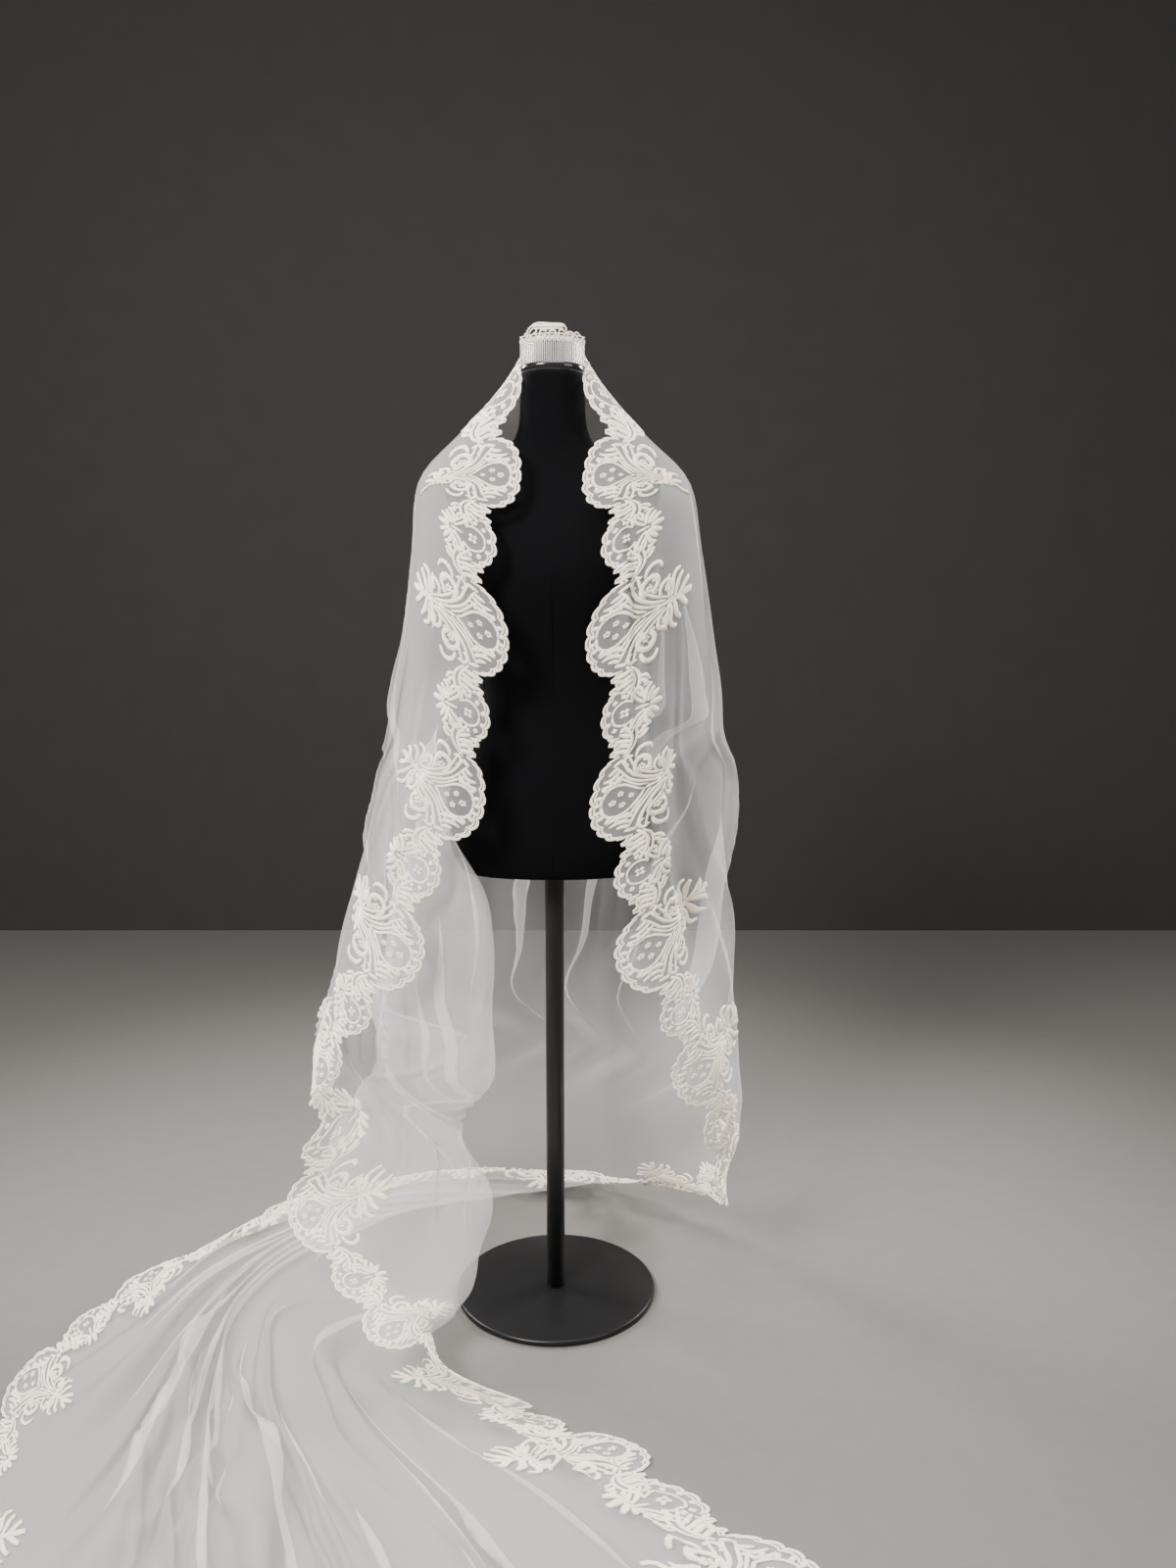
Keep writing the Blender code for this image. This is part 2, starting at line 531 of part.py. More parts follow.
def gaps_between(start, end):
    """Gaps of the lace whose place along the edge lies between two distances."""
    found = []
    for half in range(HALVES):
        for share, inset, half_length, half_wide, slant in GAPS:
            if share in (0.0, 1.0) and half % 2:
                continue
            along = place_in_half(half, share)
            if start + half_length < along < end - half_length:
                found.append(gap_outline(along, inset, half_length, half_wide,
                                         180 - slant if half % 2 else slant))
    return found


def lace_piece(first_half, last_half):
    """Outline and gaps, in the flat cut, of the lace over a run of half repeats."""
    start = max(place_in_half(first_half, first_half % 2), 0.0)
    end = min(place_in_half(last_half, 1 - last_half % 2), EDGE.length)
    outer = []
    inner = []
    for half in range(first_half, last_half + 1):
        outer += [motif_tip(half)] + scalloped(half)
        inner += seam(half)
    inner.append(seam_end(last_half))
    outer.append(motif_tip(last_half + 1))
    outer = clipped(outer, start, end)
    inner = clipped(refined(inner), start, end)
    if start == 0.0:
        inner = comb_end(start, inner[0], COMB_CLEAR)[1:] + inner[1:]
        outer = clipped(outer, COMB_CLEAR, end)
    if end == EDGE.length:
        inner = inner[:-1] + comb_end(end, inner[-1], -COMB_CLEAR)[:0:-1]
        outer = clipped(outer, start, end - COMB_CLEAR)
    outline = np.array([EDGE.cut_point(*point) for point in outer + inner[::-1]])
    return [outline] + gaps_between(start, end)


def comb_end(along, last, clear=0.0):
    """Seam points from the edge at an end of the comb in to the first point of the seam."""
    shares = np.linspace(0.0, 1.0, COMB_END_POINTS)
    return [(along + clear * (1 - share), last[1] * share) for share in shares]


def refined(line):
    """A seam line with points added where the cloth bends between its points."""
    points = [line[0]]
    for after in line[1:]:
        before = points[-1]
        stack = [after]
        while stack:
            goal = stack[-1]
            middle = ((before[0] + goal[0]) / 2, (before[1] + goal[1]) / 2)
            a, b, m = (drape(*EDGE.cut_point(*point))[0] for point in (before, goal, middle))
            wide = math.hypot(goal[0] - before[0], goal[1] - before[1]) > 2 * SHORTEST_SEAM_STEP
            if wide and np.linalg.norm(m - (a + b) / 2) > SEAM_BEND_LIMIT:
                stack.append(middle)
            else:
                points.append(goal)
                before = goal
                stack.pop()
    return points


def seam_end(half):
    return seam(half + 1)[0] if half % 2 == 0 else (place_in_half(half, 0.0), SEAM[0][1])


def clipped(line, start, end):
    """The stretch of a line of (along, inset) points between two distances."""
    kept = [(along, inset) for along, inset in line if start < along < end]
    alongs = np.array(line)[:, 0]
    insets = np.array(line)[:, 1]
    order = np.argsort(alongs)
    at_start = np.interp(start, alongs[order], insets[order])
    at_end = np.interp(end, alongs[order], insets[order])
    return [(start, float(at_start))] + kept + [(end, float(at_end))]


def tulle_outline():
    """Outline of the tulle in the flat cut, along the same seam as the lace."""
    whole = [seam_point for half in range(HALVES) for seam_point in seam(half)]
    line = refined(whole + [seam_end(HALVES - 1)])
    line = clipped(line, 0.0, EDGE.length)
    line = [EDGE.cut_point(*point) for point in comb_end(0.0, line[0]) + line[1:-1]
            + comb_end(EDGE.length, line[-1])[::-1]]
    top = [(x, 0.0) for x in np.linspace(COMB_HALF_WIDTH, -COMB_HALF_WIDTH, COMB_COLUMNS)[1:-1]]
    return np.array(line + top)


# ---------------------------------------------------------------- flat shapes into walls
def inside(points, loops):
    """Whether each point lies inside the loops, counting holes as outside."""
    crossings = np.zeros(len(points), int)
    x = points[:, 0]
    y = points[:, 1]
    for loop in loops:
        for (x0, y0), (x1, y1) in zip(loop, np.roll(loop, -1, axis=0)):
            spans = (y0 > y) != (y1 > y)
            if spans.any():
                crossings += spans & (x < x0 + (y - y0) * (x1 - x0) / (y1 - y0))
    return crossings % 2 == 1


def away_from(points, loop, distance):
    """Whether each point is at least a distance from a closed line."""
    nearest = np.full(len(points), np.inf)
    for a, b in zip(loop, np.roll(loop, -1, axis=0)):
        span = b - a
        t = np.clip((points - a) @ span / max(span @ span, 1e-12), 0.0, 1.0)
        nearest = np.minimum(nearest, np.linalg.norm(points - a - t[:, None] * span, axis=1))
    return nearest > distance


def triangles(loops, extra):
    """Points, triangles and, for each point, its place among the loops' points and the extra ones."""
    points = [tuple(point) for loop in loops for point in loop] + [tuple(point) for point in extra]
    edges = []
    start = 0
    for loop in loops:
        edges += [(start + i, start + (i + 1) % len(loop)) for i in range(len(loop))]
        start += len(loop)
    found, _, faces, places, _, _ = delaunay_2d_cdt(points, edges, [], 0, 1e-7)
    flat = np.array([tuple(point) for point in found])
    centres = np.array([flat[list(face)].mean(axis=0) for face in faces])
    kept = [list(face) for face, keep in zip(faces, inside(centres, loops)) if keep]
    for face in kept:
        a, b, c = flat[face]
        if (b[0] - a[0]) * (c[1] - a[1]) - (b[1] - a[1]) * (c[0] - a[0]) < 0:
            face.reverse()
    return flat, kept, [place[0] if place else -1 for place in places]


def eased(points, normals, ease):
    """Points of a closed outline in space, each moved along the cloth towards its inside."""
    heading = np.roll(points, -1, axis=0) - points
    heading /= np.linalg.norm(heading, axis=1, keepdims=True)
    after = np.cross(normals, heading)
    before = np.cross(normals, np.roll(heading, 1, axis=0))
    middle = after + before
    middle /= np.maximum(np.linalg.norm(middle, axis=1, keepdims=True), 1e-9)
    reach = np.maximum((middle * after).sum(axis=1), SHARPEST_CORNER)
    return points + middle * (ease / reach)[:, None]


def material(name, colour, roughness, **values):
    made = bpy.data.materials.new(name)
    made.use_nodes = True
    shader = made.node_tree.nodes["Principled BSDF"]
    shader.inputs["Base Color"].default_value = (*colour, 1.0)
    shader.inputs["Roughness"].default_value = roughness
    for socket, value in values.items():
        shader.inputs[socket.replace("_", " ")].default_value = value
    made.diffuse_color = (*colour, 1.0)
    return made


def add_object(name, points, faces, surface):
    mesh = bpy.data.meshes.new(name)
    mesh.from_pydata([tuple(point) for point in points], [], faces)
    mesh.materials.append(surface)
    mesh.shade_smooth()
    mesh.set_sharp_from_angle(angle=math.radians(SHARP_EDGE))
    made = bpy.data.objects.new(name, mesh)
    bpy.context.scene.collection.objects.link(made)
    return made


def anticlockwise(loop):
    x, y = loop.T
    area = (x * np.roll(y, -1) - np.roll(x, -1) * y).sum() / 2
    return loop if area > 0 else loop[::-1]


def wall(name, loops, extra, place, thickness, surface, ease=0.0):
    """A closed wall: a flat shape put in place by `place`, thickened to its outward side."""
    loops = [anticlockwise(loop) for loop in loops]
    flat, faces, places = triangles(loops, extra)
    used = sorted({i for face in faces for i in face})
    renumber = {old: new for new, old in enumerate(used)}
    faces = [[renumber[i] for i in face] for face in faces]
    points, normals = (np.array(column) for column in zip(*(place(*flat[i]) for i in used)))
    if ease:
        rim = [np.array(column) for column in zip(*(place(*point) for point in loops[0]))]
        moved = eased(*rim, ease)
        for i in used:
            if 0 <= places[i] < len(moved):
                points[renumber[i]] = moved[places[i]]
                normals[renumber[i]] = rim[1][places[i]]
    tops = points + normals * thickness
    tops[:, 2] = np.where(points[:, 2] < thickness, np.maximum(tops[:, 2], thickness), tops[:, 2])
    count = len(used)
    sides = {}
    for face in faces:
        for a, b in zip(face, face[1:] + face[:1]):
            if (b, a) in sides:
                del sides[(b, a)]
            else:
                sides[(a, b)] = True
    solid = [[i + count for i in face] for face in faces]
    solid += [face[::-1] for face in faces]
    solid += [[a, b, b + count, a + count] for a, b in sides]
    return add_object(name, list(points) + list(tops), solid, surface)


# ---------------------------------------------------------------- dress form
def outline_ring(z, wide, front, behind):
    """Points of one closed section of the form."""
    ring = []
    for i in range(FORM_SIDES):
        turn = 2 * math.pi * i / FORM_SIDES
        c = math.cos(turn)
        s = math.sin(turn)
        power = 2 / FORM_ROUNDNESS
        depth = behind if s > 0 else front
        ring.append((wide * math.copysign(abs(c) ** power, c),
                     depth * math.copysign(abs(s) ** power, s), z))
    return ring


def lofted(name, rings, surface):
    """A closed solid through rings of equal count, from the lowest to the highest."""
    count = len(rings[0])
    points = [point for ring in rings for point in ring]
    faces = [list(range(count))[::-1]]
    for level in range(len(rings) - 1):
        low = level * count
        for i in range(count):
            j = (i + 1) % count
            faces.append([low + i, low + j, low + count + j, low + count + i])
    faces.append([(len(rings) - 1) * count + i for i in range(count)])
    return add_object(name, points, faces, surface)


def circle(radius, z, sides):
    return [(radius * math.cos(2 * math.pi * i / sides), radius * math.sin(2 * math.pi * i / sides), z)
            for i in range(sides)]


def dress_form():
    jersey = material("form_jersey", (0.012, 0.012, 0.014), 0.75)
    gloss = material("form_cap_gloss", (0.010, 0.010, 0.011), 0.18)
    steel = material("form_stand_steel", (0.020, 0.020, 0.022), 0.35, Metallic=0.6)
    lofted("form_torso", [outline_ring(*row) for row in TORSO], jersey)
    _, neck_width, neck_front, neck_behind = TORSO[-1]
    seat = TORSO[-1][0] + SEAM_GAP
    cap = [outline_ring(seat, neck_width, neck_front, neck_behind),
           outline_ring(NECK_TOP_Z - NECK_CAP_BEVEL, neck_width, neck_front, neck_behind),
           outline_ring(NECK_TOP_Z, neck_width - NECK_CAP_BEVEL, neck_front - NECK_CAP_BEVEL,
                        neck_behind - NECK_CAP_BEVEL)]
    lofted("form_neck_cap", cap, gloss)
    lofted("form_pole", [circle(POLE_RADIUS, BASE_HEIGHT + SEAM_GAP, POLE_SIDES),
                         circle(POLE_RADIUS, TORSO[0][0] - SEAM_GAP, POLE_SIDES)], steel)
    lofted("form_base", [circle(BASE_RADIUS, 0.0, BASE_SIDES),
                         circle(BASE_RADIUS, BASE_HEIGHT - BASE_CHAMFER, BASE_SIDES),
                         circle(BASE_RADIUS - BASE_CHAMFER, BASE_HEIGHT, BASE_SIDES)], steel)


# ---------------------------------------------------------------- comb
def on_comb(forward):
    """Place for shapes drawn on the comb: x across and height over the spine's top edge."""
    def place(x, height):
        point = comb_line(x)
        slope = 2 * COMB_BOW * x / COMB_HALF_WIDTH ** 2
        normal = np.array((slope, -1.0, 0.0)) / math.hypot(slope, 1.0)
        crown = point[2] - COMB_SPINE_TOP_Z
        point[2] = COMB_SPINE_TOP_Z + height + crown * ramp(height, COMB_TIP_Z - COMB_SPINE_TOP_Z, 0.0)
        return point + normal * forward, normal
    return place


def comb():
    plastic = material("comb_plastic", (0.85, 0.85, 0.84), 0.12, Alpha=0.45)
    end = COMB_HALF_WIDTH - COMB_END_MARGIN
    pitch = 2 * end / COMB_TEETH
    root = -COMB_SPINE_HEIGHT
    tip = COMB_TIP_Z - COMB_SPINE_TOP_Z
    outline = []
    for tooth in range(COMB_TEETH):
        middle = -end + (tooth + 0.5) * pitch
        half = pitch * TOOTH_SHARE / 2
        outline += [(middle - half, root), (middle - half * TOOTH_TIP_SHARE, tip),
                    (middle + half * TOOTH_TIP_SHARE, tip), (middle + half, root)]
    top = [(x, 0.0) for x in np.linspace(end, -end, 13)]
    loop = np.array([(-end, root)] + outline + [(end, root)] + top)
    extra = np.array([(x, root / 2) for x in np.linspace(-end, end, 15)[1:-1]])
    wall("veil_comb", [loop], extra, on_comb(-COMB_THICKNESS / 2), COMB_THICKNESS, plastic)


def comb_lace(surface):
    """Lace sewn over the front of the comb's spine, with the middle motif folded up above it."""
    half = COMB_HALF_WIDTH - COMB_END_MARGIN
    width = 2 * half / STRIP_SCALLOPS
    lower = []
    for i in range(STRIP_SCALLOPS):
        x = -half + i * width
        lower += [(x, STRIP_LOW + STRIP_RISE), (x + 0.3 * width, STRIP_LOW), (x + 0.7 * width, STRIP_LOW)]
    lower.append((half, STRIP_LOW + STRIP_RISE))
    upper = [(half, STRIP_RIGHT_TOP), *FLAP, (-half, STRIP_LEFT_TOP)]
    gaps = [np.array([(x - STRIP_GAP_HALF, STRIP_GAP_MIDDLE), (x, STRIP_GAP_MIDDLE - STRIP_GAP_RISE),
                      (x + STRIP_GAP_HALF, STRIP_GAP_MIDDLE), (x, STRIP_GAP_MIDDLE + STRIP_GAP_RISE)])
            for x in STRIP_GAPS]
    wall("lace_comb", [np.array(lower + upper)] + gaps, np.zeros((0, 2)),
         on_comb(COMB_THICKNESS / 2 + SEAM_GAP), CLOTH_THICKNESS, surface)


# ---------------------------------------------------------------- veil
def bend(x, y, step):
    """How far the cloth rises over its chord within a step of a point of the flat cut."""
    middle = drape(x, y)[0]
    rises = []
    for dx, dy in ((step, 0.0), (0.0, step)):
        ends = drape(x + dx, y + dy)[0] + drape(x - dx, y - dy)[0]
        rises.append(np.linalg.norm(middle - ends / 2))
    return max(rises)


def filling(loops, wide):
    """Points to add inside a flat shape: close ones where the cloth bends, few where it lies flat."""
    span = 2 * VEIL_LENGTH / 3
    points = []
    for number, y in enumerate(np.arange(CLOSE_STEP, VEIL_LENGTH, CLOSE_STEP * math.sqrt(0.75))):
        start = -span / 2 + (number % 2) * CLOSE_STEP / 2
        for column, x in enumerate(np.arange(start, span / 2, CLOSE_STEP)):
            level = 0
            if number % 2 == 0 and (column + number // 2) % 2 == 0:
                level = 1
                if number % 4 == 0 and (column + number // 2) % 4 == 0:
                    level = 2
            points.append((x, y, level))
    points = np.array(points)
    points = points[inside(points[:, :2], loops)]
    for loop in loops:
        points = points[away_from(points[:, :2], loop, CLOSE_STEP * 0.55)]
    kept = []
    for x, y, level in points:
        sharp = bend(x, y, CLOSE_STEP) > SHARP_BEND
        bent = level > 0 and bend(x, y, 2 * CLOSE_STEP) > SOFT_BEND
        if sharp or bent or (level == 2 and wide):
            kept.append((x, y))
    return np.array(kept).reshape(-1, 2)


def tulle():
    net = material("tulle_net", (0.93, 0.92, 0.88), 0.8, Alpha=0.4)
    loops = [tulle_outline()]
    wall("veil_tulle", loops, filling(loops, True), drape, CLOTH_THICKNESS, net, CLOTH_EASE)


def lace():
    thread = material("lace_thread", (0.93, 0.91, 0.86), 0.7)
    comb_lace(thread)
    bounds = [0] + [round(share * HALVES / 2) * 2 + 1 for share in LACE_JOINS] + [HALVES]
    for name, first, last in zip(LACE_NAMES, bounds[:-1], bounds[1:]):
        loops = lace_piece(first, last - 1)
        wall(name, loops, filling(loops, False), drape, CLOTH_THICKNESS, thread, CLOTH_EASE)


def main():
    for old in list(bpy.data.objects):
        bpy.data.objects.remove(old, do_unlink=True)
    dress_form()
    comb()
    tulle()
    lace()


main()
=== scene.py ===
"""Looks of the cathedral veil: sheer net, raised lace border, clear comb and black dress form.

The drape is the CAD part's own: a flat cut (across, down), rows by `drop` from the comb and
`share` across. Finer folds are added here. Sizes are in metres where nothing else is said.
"""
import math

import bpy
import numpy as np
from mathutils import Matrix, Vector
from mathutils.geometry import delaunay_2d_cdt


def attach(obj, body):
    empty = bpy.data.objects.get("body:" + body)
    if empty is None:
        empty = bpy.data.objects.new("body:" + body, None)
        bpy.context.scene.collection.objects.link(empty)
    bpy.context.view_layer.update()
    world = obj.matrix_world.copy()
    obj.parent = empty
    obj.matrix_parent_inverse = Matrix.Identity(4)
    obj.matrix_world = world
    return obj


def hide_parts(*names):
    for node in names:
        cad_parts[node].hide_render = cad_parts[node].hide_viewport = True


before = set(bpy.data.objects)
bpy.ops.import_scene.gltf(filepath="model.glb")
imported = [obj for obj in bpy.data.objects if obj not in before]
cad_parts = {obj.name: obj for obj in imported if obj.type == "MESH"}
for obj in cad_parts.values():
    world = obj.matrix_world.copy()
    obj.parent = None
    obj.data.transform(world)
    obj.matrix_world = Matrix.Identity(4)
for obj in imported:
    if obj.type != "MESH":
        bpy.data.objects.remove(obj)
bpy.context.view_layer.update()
RANDOM = np.random.default_rng(7)

SEAM_GAP = 0.0003

# ---- comb
COMB_HALF_WIDTH = 0.050
COMB_BOW = 0.018  # how far the middle stands forward of the ends
COMB_CROWN = 0.003  # how much the middle of the spine stands above its ends
COMB_THICKNESS = 0.0024
COMB_TEETH = 30
COMB_TIP_Z = 1.4983
COMB_SPINE_TOP_Z = 1.5370  # at the ends
COMB_END_MARGIN = 0.001  # plain spine beyond the last tooth
COMB_BACK = 0.004  # how far the comb's ends stand in front of the form's axis
VEIL_LIFT = 0.0008  # height of the tulle's top edge over the comb's spine
BEAD_RADIUS = 0.0013  # rounded tips of the teeth
BEAD_RISE = 0.0014  # height of a bead's middle over the tips
BEAD_RINGS = 5
BEAD_SIDES = 8
# Lace over the spine: open cells side by side, two straight lines (height, half width) and small
# flowers between them.
STRIP_MARGIN = 0.002  # plain spine beyond the last cell
STRIP_LIFT = 0.0004
STRIP_CELLS = 14
CELL_TURNS = np.radians(np.linspace(180, 360, 7))
CELL_ACROSS = 0.0030
CELL_DEEP = 0.0040
CELL_THREAD = 0.0006
BAR_THREAD = 0.0008
STRIP_LINES = ((-0.0042, 0.0007), (0.0024, 0.0009))
STRIP_FLOWERS = (-0.032, -0.012, 0.008, 0.030)

# ---- dress form
POLE_RADIUS = 0.015
BASE_RADIUS = 0.165
BASE_HEIGHT = 0.010
# Section of the plate's rim: how far out from its radius, height.
BASE_RIM = ((-0.0025, 0.0), (0.0, 0.0025), (0.0, 0.0070), (-0.0010, 0.0092), (-0.003, BASE_HEIGHT))
CAP_ROUNDING = 0.004
LATHE_SIDES = 72
FORM_SIDES = 96
FORM_LEVELS = 90
FORM_TUCK = 0.006  # how far the lower edge turns in
FORM_EDGE_RISE = 0.002
FORM_SEAMS = (270.0, 238.0, 302.0, 205.0, 335.0, 90.0, 58.0, 122.0)
SEAM_FIRST_LEVEL = 2
SEAM_LEVELS = 60
SEAM_HALF_WIDTH = 0.0011
SEAM_RIDGE = 0.7  # height of a seam as a share of its half width
FORM_ROUNDNESS = 2.3  # exponent of the section's outline, 2 is an ellipse
# Sections of the torso in millimetres. Columns: height, half width, depth in front, behind.
TORSO = np.array((
    (720, 146, 88, 100), (740, 158, 97, 112), (800, 168, 104, 120), (880, 158, 100, 112),
    (990, 118, 86, 84), (1080, 126, 98, 90), (1160, 140, 120, 100), (1210, 145, 117, 102),
    (1270, 152, 92, 100), (1305, 166, 72, 92), (1330, 158, 58, 80), (1352, 118, 50, 68),
    (1372, 76, 46, 58), (1395, 56, 45, 52), (1430, 50, 45, 47), (1485, 49, 46, 46),
)) / 1000

# ---- flat cut of the veil
VEIL_LENGTH = 3.15  # from the comb to the end of the train
END_ROUNDING_FROM = 2.50  # drop at which the rounded end begins
END_SQUARENESS = 2.4  # exponent of the rounded end, 2 is an ellipse
# Half width of the cut along the row at each drop.
HALF_WIDTH = np.array((
    (0.00, COMB_HALF_WIDTH), (0.04, 0.100), (0.11, 0.205), (0.18, 0.340), (0.26, 0.480),
    (0.36, 0.575), (0.50, 0.670), (0.70, 0.800), (0.90, 0.870), (1.10, 0.895), (1.40, 0.870),
    (1.80, 0.830), (2.40, 0.800), (3.15, 0.785),
))

# ---- how the veil hangs
# Sections of the cape, open in front, in millimetres. Columns: drop; heights of front edges,
# sides and back; x of the left edge, left side, right side and right edge; y of the edges, sides
# and back.
CAPE = np.array((
    (40, 1503, 1522, 1544, -53, -50, 50, 54, -8, 14, 18),
    (110, 1430, 1470, 1515, -57, -85, 85, 61, -40, 12, 65),
    (180, 1365, 1400, 1450, -52, -145, 145, 60, -82, 8, 90),
    (260, 1295, 1333, 1375, -42, -200, 206, 42, -118, 5, 112),
    (360, 1195, 1230, 1275, -55, -215, 228, 50, -150, 10, 135),
    (500, 1055, 1085, 1135, -60, -235, 248, 50, -158, 15, 155),
    (600, 958, 982, 1035, -68, -255, 258, 52, -160, 18, 163),
    (700, 862, 880, 935, -90, -276, 268, 54, -162, 20, 170),
    (880, 690, 700, 745, -155, -316, 282, 72, -168, 20, 185),
    (1050, 530, 530, 570, -235, -358, 292, 125, -168, 20, 205),
    (1180, 425, 400, 440, -325, -392, 300, 178, -135, 20, 225),
)) / 1000
# The two deep pleats of the cape. Columns: drop; how far the left one is open, x and y of its
# inner fold; how far the right one is open, x and y of its outer fold, x and y of its valley.
PLEATS = np.array((
    (0.36, 0.00, -0.100, -0.130, 0.00, 0.168, -0.125, 0.155, -0.075),
    (0.50, 0.00, -0.115, -0.130, 0.25, 0.168, -0.130, 0.160, -0.080),
    (0.60, 0.10, -0.113, -0.131, 0.50, 0.169, -0.131, 0.162, -0.078),
    (0.70, 0.60, -0.106, -0.134, 0.65, 0.170, -0.132, 0.162, -0.075),
    (0.88, 1.00, -0.092, -0.136, 0.65, 0.172, -0.130, 0.166, -0.072),
    (1.05, 1.00, -0.090, -0.138, 0.40, 0.190, -0.125, 0.185, -0.070),
    (1.18, 1.00, -0.090, -0.142, 0.12, 0.215, -0.110, 0.215, -0.060),
))
# The two sides of the left pleat's inner fold, measured from the fold.
FOLD_FRONT = np.array((-0.012, -0.018, 0.0))
FOLD_BACK = np.array((-0.002, 0.020, 0.0))
# Lower sections, where the veil swings round to the left and forward over the floor, in
# millimetres. Columns: drop, then (x, y, z) of left edge, before the inner fold, the fold's
# front, the fold's back, after the fold, left side, left back, middle, right side, right edge.
# A point without a height lies on the floor.
SWEEP = (
    (1340, (-445, -45, 235), (-275, -115, 240), (-108, -162, 245), (-98, -120, 246),
     (-235, -20, 250), (-385, 65, 250), (-260, 205, 265), (-60, 245, 275), (300, 60, 255),
     (232, -95, 262)),
    (1500, (-372, -172, 137), (-250, -188, 130), (-137, -186, 118), (-118, -149, 108),
     (-240, -25, 100), (-402, 60, 98), (-303, 205, 120), (-120, 252, 140), (220, 165, 165),
     (295, 20, 120)),
    (1640, (-268, -290, 98), (-209, -250, 98), (-156, -209, 82), (-156, -168, 52), (-262, -70, 12),
     (-418, 32, 12), (-362, 170, 18), (-190, 262, 40), (100, 250, 90), (265, 160, 85)),
    (1740, (-196, -306, 76), (-176, -266, 75), (-180, -224, 52), (-212, -190, 22), (-305, -122, 3),
     (-440, -10, 2), (-400, 135, 4), (-272, 250, 16), (20, 277, 50), (200, 270, 50)),
    (1850, (-118, -320, 50), (-147, -291, 48), (-190, -256, 25), (-244, -238, 5), (-340, -198),
     (-462, -83), (-452, 74), (-362, 222, 3), (-70, 306, 18), (110, 372, 28)),
    (1950, (-26, -326, 20), (-92, -324, 22), (-182, -308, 8), (-254, -300, 1), (-345, -264),
     (-470, -145), (-490, 30), (-428, 204), (-196, 336, 9), (-18, 412, 14)),
    (2050, (35, -338, 3), (-60, -358, 3), (-173, -370, 1), (-262, -363), (-352, -332),
     (-476, -210), (-514, -22), (-478, 162), (-306, 342, 2), (-145, 440, 4)),
    (2250, (160, -420), (50, -480), (-95, -520), (-195, -515), (-298, -478), (-435, -350),
     (-525, -180), (-545, 10), (-475, 220), (-335, 400)),
    (2450, (320, -590), (185, -660), (5, -695), (-105, -690), (-210, -655), (-390, -530),
     (-510, -360), (-575, -160), (-595, 85), (-515, 305)),
    (2650, (400, -770), (265, -830), (80, -860), (-30, -855), (-140, -826), (-330, -720),
     (-485, -550), (-590, -340), (-665, -80), (-650, 145)),
    (2850, (430, -930), (290, -985), (100, -1010), (-10, -1005), (-120, -976), (-320, -870),
     (-490, -700), (-620, -500), (-740, -230), (-800, 0)),
    (3150, (450, -1150), (320, -1220), (130, -1270), (15, -1265), (-100, -1236), (-320, -1140),
     (-520, -980), (-680, -770), (-840, -460), (-920, -200)),
)
# Folds that stand out of the cape and ridges on the train. Columns: share of the row at the
# fold's crest where it starts and ends, half width (share), height, drop where it starts, is
# full, begins to fade and ends.
FOLDS = (
    (0.04, 0.04, 0.070, 0.018, 0.30, 0.75, 1.10, 1.40),
    (0.21, 0.22, 0.070, 0.024, 0.28, 0.80, 1.15, 1.45),
    (0.38, 0.40, 0.070, 0.022, 0.30, 0.80, 1.15, 1.45),
    (0.54, 0.56, 0.065, 0.016, 0.32, 0.75, 1.10, 1.40),
    (-0.50, -0.46, 0.100, 0.034, 2.05, 2.30, 2.70, 3.10),
    (-0.14, -0.14, 0.100, 0.036, 2.00, 2.30, 2.60, 3.05),
    (0.22, 0.24, 0.100, 0.034, 2.10, 2.35, 2.70, 3.10),
    (0.56, 0.56, 0.090, 0.026, 2.20, 2.45, 2.60, 3.00),
)

# ---- lace border
LACE_REPEAT = 0.288  # aimed length of one repeat along the edge
VALLEY_INSET = 0.047  # how far the edge between motifs lies inside the motifs' tips
SCALLOP_RISE = 0.0045
LARGE_SHARE = 0.50  # half width of the large motif as a share of the half repeat
SMALL_SHARE = 0.26
SMALL_RISE = 0.020  # how far the small motif stands out of the edge between motifs
# Tips of the leaves between the motifs: place along (share), distance in from the edge.
LEAF_TIPS = [(0.57, 0.039), (0.64, 0.046), (0.70, 0.037)]
# Lengths of lace from the left end of the comb round to its right end, and where they begin and
# end (share of the edge).
LACE_NAMES = ("lace_left_front", "lace_left_train", "lace_train_end", "lace_right_train",
              "lace_right_front")
LACE_JOINS = (0.0, 0.20, 0.39, 0.61, 0.80, 1.0)
COMB_FAN = 0.15  # from each end of the comb, where the lace turns down the edge
COMB_CLEAR = 0.008  # bare edge beside the comb
ROUNDING = 5
COLUMNS = 241
DROP_STEP = 0.015
EDGE_POINTS = 1200
EDGE_SMOOTHING = 41  # points over which the direction along the edge is evened
BORDER_SHARE = 0.16  # share of the row over which the leaning folds fade
SCALLOP_SHARPNESS = 0.7  # exponent of the scallops' outline, less is squarer
LARGE_LOBES = 4.5  # scallops on each side of the large motif's tip
SMALL_LOBES = 2.5
# Outline of a leaf's tip between the motifs, from the tip: along (share), inset.
LEAF_OUTLINE = ((-0.028, 0.005), (-0.010, -0.002), (0.012, -0.001), (0.030, 0.005))
HEM_THREADS = ((0.0012, 0.0014), (0.0062, 0.0009))  # inset, half width
HEM_PIECE = 12  # points of the hem in one stroke
LACE_LIFT = 0.0005  # how far the lace stands on the net
LACE_FLOOR = 0.0004
THREAD_HEIGHT = 0.0014
THREAD_ROUNDNESS = 0.45  # height of a narrow stroke as a share of its half width
